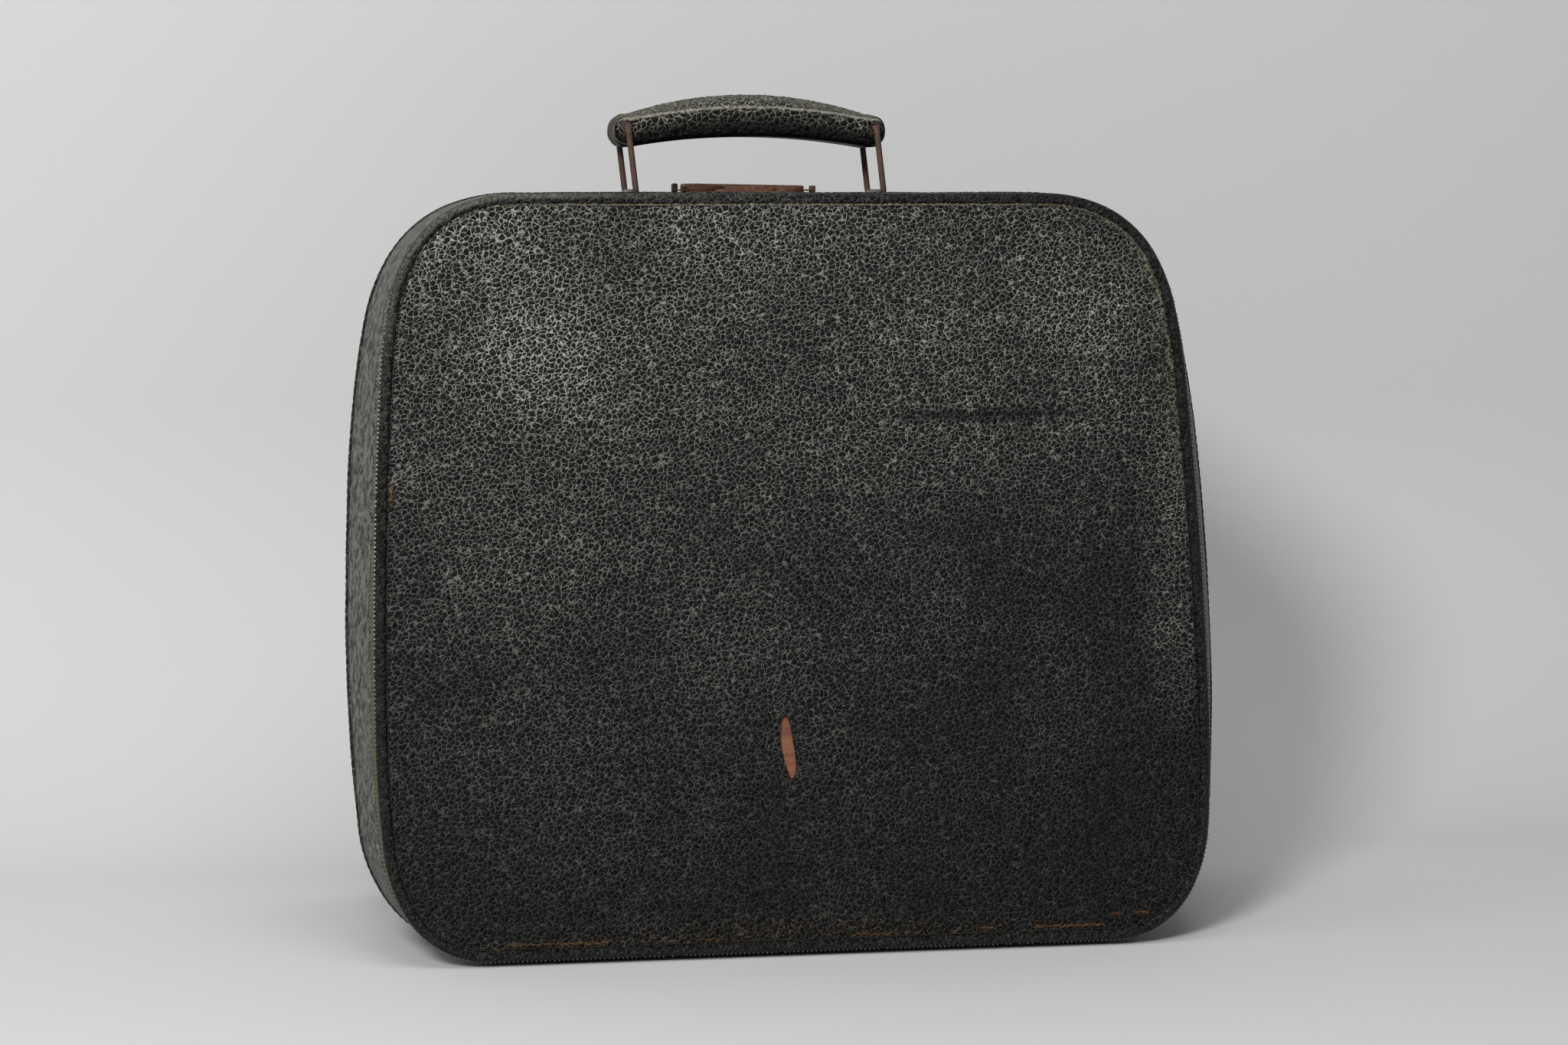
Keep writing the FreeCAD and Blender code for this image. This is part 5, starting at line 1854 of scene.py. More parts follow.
    def close_sheet(self, points: Array, right_edge: Array, slit: Array, column: int) -> Piece:
        """Makes the face grid a closed sheet with the tear through it.

        Args:
            points: Grid of points, its torn column at the left edge of the tear.
            right_edge: Points of the right edge of the tear.
            slit: Rows that the tear crosses.
            column: Column that the tear follows.

        Returns:
            The closed sheet.
        """
        case = self.shop.case
        index = np.arange(points[..., 0].size).reshape(points.shape[:2])
        right_index = index.copy()
        right_index[slit, column] = index.size + np.arange(len(slit))
        hole = np.concatenate([index[slit[0] - 1:slit[-1] + 2, column], right_index[slit[::-1], column]])
        faces = [cell_faces(index[:, :column + 1]), cell_faces(right_index[:, column:])]
        parts = [np.concatenate([points.reshape(-1, 3), right_edge])]
        count = len(parts[0])
        for ring in (rim_of(index), hole):
            under = parts[0][ring].copy()
            under[:, 1] = case.panel_top_y + case.seat - (case.top - under[:, 2]) * math.tan(case.lean)
            parts.append(under)
            lower = count + np.arange(len(ring))
            faces.append(np.stack([ring, np.roll(ring, -1), np.roll(lower, -1), lower], -1))
            count += len(ring)
        piece = new_piece("face_leather_sheet", np.concatenate(parts), np.concatenate(faces),
                          self.shop.finish.face)
        work = bmesh.new()
        work.from_mesh(piece.data)
        open_edges = [edge for edge in work.edges if edge.is_boundary]
        bmesh.ops.triangle_fill(work, use_beauty=False, use_dissolve=False, edges=open_edges)
        work.to_mesh(piece.data)
        work.free()
        tidy_mesh(piece.data)
        return piece

    def rolled_edge(self) -> Piece:
        """Rolled pebbled edge round the face, worn smooth towards its lower corners, with painted light on its
        upper left.

        Returns:
            The piece.
        """

        def wear(loop: Array, inset: float, crest: float) -> tuple[Array, Array, Array]:
            """Relief, dust and pale ridges of one loop: the dust grows towards the top and left partly as
            painted light, and the ridges are painted highlights on the crest of the upper left corner.
            """
            height = rise(loop[:, 2], 40.0, 200.0)
            # Painted highlight: the crest at the upper left corner faces the light, so its ridges are painted
            # pale there.
            corner = np.exp(-((loop[:, 0] + 118.0) / 60.0) ** 2 - ((loop[:, 2] - 285.0) / 45.0) ** 2)
            return (crest * (0.3 + 0.7 * height) * (0.75 + 0.5 * corner),
                    0.25 + 0.75 * rise(loop[:, 2], 150.0, 290.0) * rise(loop[:, 0], 150.0, -120.0),
                    0.3 * corner * crest * rise(inset, 3.0, 1.0))

        return self.shop.rolled("rolled_edge", self.shop.case.lid_station, self.roll_spacing, wear)

    def band(self) -> Piece:
        """Fine-grained side band, turned in and worn along the front edge, with painted shade just behind the
        rolled edge.

        Returns:
            The piece.
        """
        case, spacing = self.shop.case, self.shop.wall_spacing
        loops, worn, dark = [], [], []
        for depth in self.band_depths:
            turn_in = 0.45 * math.exp(-(depth - self.band_depths[0]) / 0.5)
            base = case.lid_station(depth).loop(turn_in, spacing)
            swell = waves(base, 55.0, 9) * 0.12 * float(rise(depth, 3.0, 9.0))
            loops.append(self.pushed(base, swell, depth, turn_in, spacing))
            low = rise(base[:, 2], 235.0, 120.0)
            worn.append(rise(2.4 + 2.6 * low - depth, -0.3, 0.3) * (0.35 + 0.65 * low))
            # Painted shade: near black in the first half millimetre behind the rolled edge.
            dark.append(np.full(len(base), float(rise(depth, 2.55, 2.15))))
        for depth in self.band_inside:
            loops.append(case.lid_station(depth).loop(case.cover, spacing))
            worn.append(np.zeros(len(loops[0])))
            dark.append(np.zeros(len(loops[0])))
        piece = swept("side_band", loops, self.shop.finish.band)
        add_masks(piece, worn_edge=worn, dark_edge=dark)
        return piece

    def pushed(self, loop: Array, amount: Array, depth: float, inset: float, spacing: float) -> Array:
        """Loop of the lid pushed outwards by an amount at each point."""
        outer = self.shop.case.lid_station(depth).loop(inset - 1.0, spacing)
        return loop + (outer - loop) * amount[:, None]

    def welt(self) -> Piece:
        """Sewn welt round the widest line, pulled in by each stitch.

        Returns:
            The piece.
        """
        case = self.shop.case
        loops = []
        for inset, step in self.welt_profile:
            depth = case.band_depth + step
            loop = case.lid_station(depth).loop(inset, self.welt_spacing)
            pull = np.abs(np.sin(run_lengths(loop) * math.pi / self.welt_pitch)) ** 0.6 - 0.7
            amount = (pull * 0.3 + 0.12 * waves(loop, 30.0, 12)) * (inset < 0.3)
            amount = amount - 0.45 * rise(loop[:, 2], case.top - 12.0, case.top)
            loops.append(self.pushed(loop, amount, depth, inset, self.welt_spacing))
        return swept("sewn_welt", loops, self.shop.finish.wall)

    def wall(self) -> Piece:
        """Pebbled leather of the wall from the welt to the mouth, open at the saddles and the hinges.

        Returns:
            The piece.
        """
        case, spacing = self.shop.case, self.shop.wall_spacing
        loops = self.wall_loops(case.wall_depth, 0.0, 12, spacing)
        loops += self.wall_loops(case.wall_depth, case.cover, 3, spacing)[::-1]
        piece = swept("lid_wall_leather", loops, self.shop.finish.wall)
        cutters = []
        for x in case.saddles:
            for half_x, half_y, shift in self.saddle_rooms:
                y, top = case.handle_y + shift, case.top
                cutters.append(block((x - half_x, y - half_y, top - 4.0), (x + half_x, y + half_y, top + 4.0)))
        return carved(piece, cutters + self.shop.hinge_rooms())

    def wall_loops(self, first_depth: float, inset: float, steps: int, spacing: float) -> list[Array]:
        """Loops of the lid's wall from a depth behind the face to the mouth, straight between the planes.

        Args:
            first_depth: Depth of the first loop.
            inset: Distance inside the outline.
            steps: Number of loops.
            spacing: Distance wanted between neighbouring points.

        Returns:
            The loops.
        """
        case = self.shop.case
        first = case.lid_station(first_depth).loop(inset, spacing)
        last = case.lid_mouth().loop(inset, spacing)
        return [first + (last - first) * share for share in np.linspace(0.0, 1.0, steps + 1)]

    def wall_lining(self) -> Piece:
        """Cloth over the inside of the wall, with small wrinkles.

        Returns:
            The piece.
        """
        case, spacing = self.shop.case, self.shop.lining_spacing
        depths = np.linspace(case.seat + case.board + case.lining, case.wall_depth, 9)
        inner, outer = ([case.lid_station(float(depth)).loop(inset, spacing) for depth in depths]
                        + self.wall_loops(float(depths[-1]), inset, 14, spacing)[1:]
                        for inset in (case.inner + case.lining, case.inner + 0.06))
        inner = [loop + inward(loop) * (0.22 * (1 + waves(loop, 14.0, 33)) / 2)[:, None] for loop in inner]
        return swept("lid_wall_cloth", inner + outer[::-1], self.shop.finish.cloth)

    def front_lining(self) -> Piece:
        """Cloth over the inside of the front board.

        Returns:
            The piece.
        """
        case = self.shop.case
        station = case.lid_station(case.seat + case.board)
        xs, drops = panel_grid(station, case.inner + 0.1, 3.0, 111)
        front = station.place(xs, drops)
        puff = 0.25 * (1 + waves(front, 30.0, 41)) * rise(edge_distance(xs, drops), 0.0, 8.0)
        back = station.place(xs, drops, case.lining + puff)
        return slab("lid_front_cloth", front, back, self.shop.finish.cloth)

    def stitches(self) -> list[Piece]:
        """Every line of thread on the lid.

        Returns:
            The pieces.
        """
        shop, case, finish, spacing = self.shop, self.shop.case, self.shop.finish, self.shop.seam_spacing
        places, _ = even_steps(case.lid_station(1.35).loop(0.02, spacing), shop.edge_pitch)
        aims = -inward(places) * 0.75 + np.array([0.0, -1.0, 0.25]) * 0.5
        band_places, band_aims = even_steps(case.lid_station(4.9).loop(-0.05, spacing), shop.edge_pitch)
        side, band_side = (run[:, 2] < case.top - shop.bare_top for run in (places, band_places))
        seam = case.lid_station(case.band_depth + 0.1).loop(-0.28, spacing)
        seam[:, 2] -= 0.75 * rise(seam[:, 2], case.top - 14.0, case.top - 1.0)
        return [
            shop.groove_stitches("face_groove_stitches", case.lid_station(0.8), 4),
            shop.sewn("welt_stitches", finish.dark_thread, 8, even_steps(seam, self.welt_pitch), 1.9,
                      0.22, 0.25, 0.1, 0.2),
            shop.sewn("rolled_edge_stitches", finish.pale_thread, 6, (places[side], aims[side]), 1.05, 0.26),
            shop.sewn("band_edge_stitches", finish.dark_thread, 7,
                      (band_places[band_side], band_aims[band_side]), 0.95, 0.24, 0.08),
            self.frayed_threads()]

    def frayed_threads(self) -> Piece:
        """Worn orange threads that stand out of the bottom groove.

        Returns:
            The piece.
        """
        chance = np.random.default_rng(17)
        places = np.array([
            self.shop.case.on_face(x, slide - 1.9 + chance.normal(0, 0.28), 0.42 + chance.uniform(0, 0.25))
            for low, high, slide in self.frayed_spans for x in np.arange(low, high, 0.33)])
        aims = chance.normal(size=(len(places), 3)) * np.array([0.6, 0.3, 0.4]) + np.array([1.0, 0.0, 0.0])
        return self.shop.sewn("frayed_threads", self.shop.finish.worn_thread, 19, (places, aims), 1.7, 0.1, 0.3,
                              0.35, 0.45)


@dataclass
class BaseTray:
    """The shallow half: back leather, rolled edge, wall, linings and the fittings that hold the machine."""

    shop: Workshop
    pad_spacing: tuple[float, float] = (236.0, 172.0)
    pad_middle: float = 150.0
    pad_profile: tuple[tuple[float, float], ...] = (
        (1.7, 0.05), (10.2, 0.05), (10.9, 0.4), (11.0, 1.3), (10.7, 2.6), (10.6, 6.0), (10.5, 8.0), (10.1, 8.7),
        (9.4, 9.0), (8.4, 8.95), (7.8, 8.6), (7.5, 8.0), (7.4, 6.5), (7.0, 6.05), (1.7, 6.0))
    pad_floor: float = 6.0
    hook_foot: float = 1.6
    hook_places: tuple[float, float] = (-75.0, 75.0)
    hook_height: float = 252.0

    def build(self) -> None:
        """Builds every piece of the base."""
        shop, case = self.shop, self.shop.case
        for make, node, slot in (
                (self.back_leather, "base_back_cover", "black_leather"),
                (self.back_roll, "base_back_roll", "black_leather"),
                (self.wall, "base_wall_cover", "black_leather"),
                (self.deck_lining, "base_deck_lining", "lining_cloth"),
                (self.wall_lining, "base_wall_lining", "lining_cloth")):
            place_piece(make(), "base", slot, node)
        for piece in self.stitches():
            place_piece(piece, "base", "black_leather")
        pads = []
        for column, x in (("left", -self.pad_spacing[0] / 2), ("right", self.pad_spacing[0] / 2)):
            for row, z in (("lower", self.pad_middle - self.pad_spacing[1] / 2),
                           ("upper", self.pad_middle + self.pad_spacing[1] / 2)):
                name = f"{column}_{row}_pad"
                shape = turned(self.pad_profile, (x, case.deck_y, z), (0, -1, 0), 48)
                place_piece(new_piece(name + "_rubber", *shape, shop.finish.rubber), "base", "pad_rubber", name)
                pads.append((x, case.deck_y - self.pad_floor, z))
        hooks = [(x, case.deck_y - self.hook_foot, self.hook_height) for x in self.hook_places]
        for name, spots, length in (("pad", pads, 11.0), ("hook", hooks, 6.6)):
            screw = Fastener(3.2, 1.6, 1.6, length, 0.7, 0.05)
            shop.fasten("base", name + "_screws", name + "_screw_set", screw, spots, back=-1.0, rusty=False)
        shop.dress(shop.finish.ply, "base_frame", "base_board", "base_locating_lip")
        shop.dress(shop.finish.fitting, "left_hold_down_hook", "right_hold_down_hook", "left_clamp_screw",
                   "right_clamp_screw", "left_clamp_lever", "right_clamp_lever")

    def back_leather(self) -> Piece:
        """Pebbled leather over the back board, a little pillowed.

        Returns:
            The piece.
        """
        case = self.shop.case
        station = case.base_station(case.back_y)
        xs, drops = panel_grid(station, case.roll_width - 0.15, 2.0, 171)
        edge = edge_distance(xs, drops)
        outer = station.place(xs, drops)
        puff = 0.5 * (1 - np.exp(-edge / 16.0)) + 0.12 * waves(outer, 80.0, 51) * rise(edge, 2.0, 30.0)
        inner = outer.copy()
        outer[..., 1] = case.back_y - case.roll_stand + puff * rise(edge, 0.0, 6.0) - 0.3 * np.exp(-edge / 1.3)
        inner[..., 1] = case.back_y - case.seat
        return slab("back_leather_sheet", outer, inner, self.shop.finish.wall)

    def back_roll(self) -> Piece:
        """Rolled edge round the back, evenly worn.

        Returns:
            The piece.
        """
        return self.shop.rolled(
            "back_rolled_edge", lambda depth: self.shop.case.base_station(self.shop.case.back_y - depth), 0.8,
            lambda loop, inset, crest: [np.full(len(loop), value) for value in (crest * 0.7, 0.4, 0.0)])

    def loops(self, ys: Array, inset: float, spacing: float) -> list[Array]:
        """Loops of the base's wall at these places along its depth."""
        return [self.shop.case.base_station(float(y)).loop(inset, spacing) for y in ys]

    def wall(self) -> Piece:
        """Pebbled leather over the wall of the base.

        Returns:
            The piece.
        """
        case, spacing = self.shop.case, self.shop.wall_spacing
        rear = case.back_y - case.seat
        loops = self.loops(np.linspace(case.base_front, rear, 10), 0.0, spacing)
        loops += self.loops(np.linspace(rear, case.base_front, 3), case.cover, spacing)
        return carved(swept("base_wall_leather", loops, self.shop.finish.wall), self.shop.hinge_rooms())

    def deck_lining(self) -> Piece:
        """Cloth over the inside of the back board.

        Returns:
            The piece.
        """
        case = self.shop.case
        station = case.base_station(case.deck_y)
        xs, drops = panel_grid(station, case.inner + 0.1, 3.0, 111)
        puff = 0.2 * (1 + waves(station.place(xs, drops), 34.0, 61)) * rise(edge_distance(xs, drops), 0.0, 8.0)
        front, back = (station.place(xs, drops, depth) for depth in (puff * -0.5, case.lining))
        return slab("base_deck_cloth", front, back, self.shop.finish.cloth)

    def wall_lining(self) -> Piece:
        """Cloth over the inside of the base's wall.

        Returns:
            The piece.
        """
        case, spacing = self.shop.case, self.shop.lining_spacing
        loops = self.loops(np.linspace(case.base_front, case.deck_y, 8), case.inner + 0.06, spacing)
        loops += self.loops(np.linspace(case.deck_y, case.base_front, 12), case.inner + case.lining, spacing)
        return swept("base_wall_cloth", loops, self.shop.finish.cloth)

    def stitches(self) -> list[Piece]:
        """Thread in the groove of the back and along its rolled edge.

        Returns:
            The pieces.
        """
        shop, case = self.shop, self.shop.case
        seam = case.base_station(case.back_y - 1.35).loop(0.02, shop.seam_spacing)
        places, _ = even_steps(seam, shop.edge_pitch)
        places = places[places[:, 2] < case.top - shop.bare_top]
        aims = -inward(places) * 0.75 + np.array([0.0, 1.0, 0.25]) * 0.5
        edge = shop.sewn("back_edge_stitches", shop.finish.pale_thread, 13, (places, aims), 1.05, 0.26)
        return [shop.groove_stitches("back_groove_stitches", case.base_station(case.back_y - 0.8), 14), edge]


@dataclass
class CarryingHandle:
    """The leather handle, its two wire loops and the saddles that hold them."""

    shop: Workshop
    length: float = 114.0
    width: float = 28.0
    hole_height: float = 27.0
    under: float = 8.0
    over: float = 6.0
    cap: float = 7.0
    arch: float = 4.3
    crown: float = 8.0
    lean: float = math.radians(6.8)
    pivot_height: float = -0.4
    wire: float = 1.25
    loop_width: float = 33.0
    loop_bend: float = 2.4
    foot_radius: float = 3.0
    lip_radius: float = 0.9
    leather: float = 1.6
    hole_radius: float = 2.35
    grain_relief: float = 0.4

    @property
    def flat(self) -> float:
        """Half the length between the rounded ends."""
        return self.length / 2 - self.cap

    @property
    def span(self) -> float:
        """Height of the holes above the pivots of the loops."""
        return self.hole_height - self.pivot_height

    def at(self, x: Any, depth: Any, height: Any) -> Array:
        """Points measured from the middle of the handle at its holes, as rows of three.

        Args:
            x: Place along x, in millimetres.
            depth: Way towards the back.
            height: Height above the holes.

        Returns:
            The points.
        """
        case = self.shop.case
        shift = case.handle_offset - self.span * math.tan(self.lean)
        return np.stack(np.broadcast_arrays(x + shift, case.handle_y + depth,
                                            case.top + self.hole_height + height), -1)

    def build(self) -> None:
        """Builds the handle, the loops and the saddles."""
        shop, case = self.shop, self.shop.case
        place_piece(self.cover(), "handle", "black_leather", "handle_cover")
        for piece in self.end_edges():
            place_piece(piece, "handle", "black_leather")
        place_piece(self.eyelets(), "handle", "rusty_steel", "handle_eyelets")
        for body, x in zip(("left_loop", "right_loop"), case.saddles):
            place_piece(self.loop(body, x), body, "rusty_steel", body)
        place_piece(self.core(), "handle", "handle_wood", "handle_core")
        shop.dress(shop.finish.fitting, "left_handle_saddle", "right_handle_saddle")
        spots = [(x + side, case.handle_y, case.top - 0.2) for x in case.saddles for side in (-7.5, 7.5)]
        rivet = Fastener(2.3, 0.7, 1.1, 6.8)
        shop.fasten("lid", "handle_saddle_rivets", "saddle_rivet_set", rivet, spots, up=1.0, rusty=False)

    def side_view(self, x: Array) -> tuple[Array, Array]:
        """Heights of the underside and of the top of the handle at x, measured from its holes.

        Args:
            x: Place along x, in millimetres.

        Returns:
            Heights of the underside, then of the top.
        """
        flat, middle, half = self.flat, (self.over - self.under) / 2, (self.over + self.under) / 2

        def bow(height: float) -> Array:
            """Height of a shallow arc over the flat part."""
            radius = (flat ** 2 + height ** 2) / (2 * height)
            return np.sqrt(np.maximum(radius ** 2 - np.minimum(np.abs(x), flat) ** 2, 0.0)) - (radius - height)

        outside = np.clip((np.abs(x) - flat) / self.cap, 0.0, 1.0)
        end = half * (1 - outside ** 2.7) ** (1 / 2.7)
        inside = np.abs(x) <= flat
        return (np.where(inside, bow(self.arch) - self.under, middle - end),
                np.where(inside, bow(self.crown) + self.over, middle + end))

    @staticmethod
    def crest(x: float) -> float:
        """Height of the crest above the ridges at x."""
        return 1.0 + 4.4 * max(0.0, 1.0 - (x / 57.0) ** 2) ** 0.8

    def plan(self, x: float) -> float:
        """Share of the width that the rounded ends leave at x."""
        return 1.0 - 0.34 * max(0.0, (abs(x) - self.length / 2 + 11.0) / 11.0) ** 2.4

    def section(self, low: float, high: float, drop: float, count: int) -> tuple[Array, Array]:
        """Cross-section of the handle: a flat underside, upright sides and a domed top.

        Args:
            low: Height of the underside.
            high: Height of the crest.
            drop: Height of the crest above the ridges.
            count: Number of points.

        Returns:
            The points of depth and height, and how near each one is to a ridge.
        """
        half, tall = self.width / 2, high - low
        foot, lip = min(self.foot_radius, tall * 0.3), min(self.lip_radius, tall * 0.2)
        drop = min(drop, tall * 0.5)
        ridge = high - drop
        quarter = np.linspace(0, math.pi / 2, 7)
        sine, cosine = np.sin(quarter), np.cos(quarter)
        upright, inner = np.array([0.25, 0.5, 0.75]), np.linspace(0.94, 0.0, 12)
        right = np.concatenate([np.column_stack(part) for part in (
            ([0.0], [low]),
            (half - foot + foot * sine, low + foot - foot * cosine),
            (np.full(3, half), low + foot + (ridge - lip - low - foot) * upright),
            (half - lip + lip * cosine, ridge - lip + lip * sine),
            ((half - lip) * inner, ridge + drop * (1 - inner ** 2)))])
        even = at_steps(right, np.linspace(0, run_lengths(right)[-1], count // 2 + 1))
        whole = np.concatenate([even, even[-2:0:-1] * np.array([-1.0, 1.0])])
        near = np.exp(-((whole[:, 1] - ridge + 0.1) / 0.55) ** 2) * (np.abs(whole[:, 0]) > half - 2.4)
        return whole, near

    def rings(self, skin: float, steps: int, count: int) -> tuple[Array, list[Array], list[Array]]:
        """Cross-sections along the handle, narrower in plan at its rounded ends.

        Args:
            skin: How far inside the leather the form lies.
            steps: Number of sections over the flat part.
            count: Points of each section.

        Returns:
            Places along the handle, the sections in depth and height, and how near each point is to a ridge.
        """
        cap = self.flat + (self.cap - skin) * np.sin(np.linspace(0, math.pi / 2, 14))[1:]
        xs = np.concatenate([-cap[::-1], np.linspace(-self.flat, self.flat, steps), cap])
        stretched = np.minimum(np.abs(xs) * (1 + skin / self.length * 2), self.length / 2)
        lows, highs = self.side_view(np.sign(xs) * stretched)
        lows, highs = lows + skin, highs - skin
        middle = (lows + highs) / 2
        lows, highs = np.minimum(lows, middle - 0.01), np.maximum(highs, middle + 0.01)
        sections, ridges = [], []
        for x, low, high in zip(xs.tolist(), lows.tolist(), highs.tolist()):
            section, near = self.section(low, high, self.crest(x), count)
            section[:, 0] *= self.plan(x) - skin / (self.width / 2)
            sections.append(section)
            ridges.append(near)
        return xs, sections, ridges

    def stacked(self, xs: Array, sections: list[Array]) -> Array:
        """Points of the sections at their places along the handle."""
        return np.concatenate([self.at(x, section[:, 0], section[:, 1]) for x, section in zip(xs, sections)])

    def bored(self, piece: Piece) -> Piece:
        """Cuts the two holes of the wires through a piece.

        Args:
            piece: The piece.

        Returns:
            The same piece.
        """
        start, end = -2.0, self.width + 2.0
        profile = ((0.0, start), (self.hole_radius, start), (self.hole_radius, end), (0.0, end))
        reach = self.shop.case.saddle_reach
        return carved(piece, [turned(profile, self.at(x, -self.width / 2, 0.0), (0, 1, 0), 32)
                              for x in (-reach, reach)])

    def core(self) -> Piece:
        """Wooden core inside the leather.

        Returns:
            The piece.
        """
        xs, sections, _ = self.rings(self.leather, 60, 48)
        return self.bored(new_piece("handle_wood_core", self.stacked(xs, sections), capped_faces(len(xs), 48),
                                    self.shop.finish.core))

    def cover(self) -> Piece:
        """Pebbled leather over the whole handle, with its holes.

        Returns:
            The piece.
        """
        finish = self.shop.finish
        xs, sections, ridges = self.rings(0.0, 190, 132)
        ridge, relief, dusty = [], [], []
        for x, section, near in zip(xs, sections, ridges):
            height = section[:, 1]
            low, high = float(height.min()), float(height.max())
            side = float(rise(abs(x), self.length / 2, self.length / 2 - 3.0))
            crown = rise(height, high - 4.5, high - 1.5) * (np.abs(section[:, 0]) < self.width / 2 - 1.2)
            ridge.append(np.clip(near * 0.7 + crown * 0.12, 0, 1) * side)
            relief.append(side * rise(height, low + 0.2, low + 4.0))
            dusty.append(rise(height, low + 3.0, high - 5.0) * (0.95 - 0.1 * crown) * (0.35 + 0.65 * side))
        piece = new_piece("handle_leather", self.stacked(xs, sections), grid_faces(len(xs), 132, False, True),
                          finish.handle)
        add_masks(piece, ridge=ridge, relief=relief, dusty=dusty)
        tidy_mesh(piece.data, 0.00006)
        return self.bored(finish.handle_look.raised(piece, self.shop.trees, self.grain_relief))

    def end_edges(self) -> list[Piece]:
        """Folded edge of the side leather round each end, bare and pale on the left.

        Returns:
            The pieces.
        """
        finish = self.shop.finish
        turn = np.linspace(math.radians(78), math.radians(-88), 32)
        out = self.flat + self.cap * np.cos(turn)
        lows, highs = self.side_view(out)
        tall = highs - lows
        crest = np.minimum(self.crest(self.flat + self.cap), tall * 0.5)
        lip, foot = np.minimum(self.lip_radius, tall * 0.2), np.minimum(self.foot_radius, tall * 0.3)
        deep = self.width / 2 - np.where(turn > 0, lip * 0.3, foot * 0.29)
        high = np.where(turn > 0, highs - crest - lip * 0.3, lows + foot * 0.29)
        deep *= np.array([self.plan(x) for x in out.tolist()])
        pieces = []
        for name, way, thread in (("left", -1, finish.raw), ("right", 1, finish.dark_thread)):
            paths = [self.at(way * out, side * deep, high) for side in (-1, 1)]
            beads = [self.bead(path + 0.05 * waves(path, 4.0, 91)[:, None], 0.3) for path in paths]
            pieces.append(new_piece(name + "_handle_edge", *gathered(beads), thread))
        return pieces

    @staticmethod
    def bead(path: Array, radius: float) -> Shape:
        """Thin closed-ended bead along an open run of points.

        Args:
            path: Points that it follows, one per row.
            radius: Radius of the bead.

        Returns:
            Points and faces.
        """
        ahead = np.gradient(path, axis=0)
        ahead /= np.maximum(np.linalg.norm(ahead, axis=1, keepdims=True), 1e-9)
        depth = np.array([0.0, 1.0, 0.0])
        count = np.arange(len(path))
        size = radius * np.minimum(1.0, np.minimum(count, count[::-1]) / 3.0 + 0.1)
        ends = np.array([[0, 1, 2, 3], [0, 3, 4, 7], [4, 5, 6, 7]])
        faces = np.concatenate([grid_faces(len(path), 8, False, True), ends, ends + (len(path) - 1) * 8])
        return ringed(path, np.cross(ahead, depth), depth, size, 8), faces

    def eyelets(self) -> Piece:
        """Flanged tubes through the ends of the handle, the right one wider.

        Returns:
            The piece.
        """
        shapes = []
        for way, bore in ((-1, 1.31), (1, 1.6)):
            x = way * self.shop.case.saddle_reach
            half = self.width / 2 * self.plan(x) - 0.1
            profile = ((bore, -half + 0.05), (bore + 0.15, -half - 0.1), (1.95, -half - 0.12), (2.25, -half),
                       (2.25, half), (1.95, half + 0.12), (bore + 0.15, half + 0.1), (bore, half - 0.05))
            shapes.append(turned(profile, self.at(x, 0.0, 0.0), (0, 1, 0), 32))
        return new_piece("handle_eyelet_rings", *gathered(shapes), self.shop.finish.wire)

    def loop(self, name: str, x: float) -> Piece:
        """Closed loop of hand-bent wire.

        Args:
            name: Name of the piece.
            x: Place along x, in millimetres.

        Returns:
            The piece.
        """
        case = self.shop.case
        half_height = self.span / math.cos(self.lean) / 2
        ring = rounded_corners(self.loop_width / 2, half_height, self.loop_bend, 10)
        closed = np.vstack([ring, ring[:1]])
        flat = at_steps(closed, np.arange(0.0, run_lengths(closed)[-1], 0.45))
        foot = np.array([x, case.handle_y, case.top + self.pivot_height])
        up = np.array([-math.sin(self.lean), 0.0, math.cos(self.lean)])
        path = foot + up * (half_height + flat[:, 1:2]) + np.array([0.0, 1.0, 0.0]) * flat[:, :1]
        return new_piece(name.replace("_", "_wire_"), *tube(path, self.wire, 18), self.shop.finish.wire)


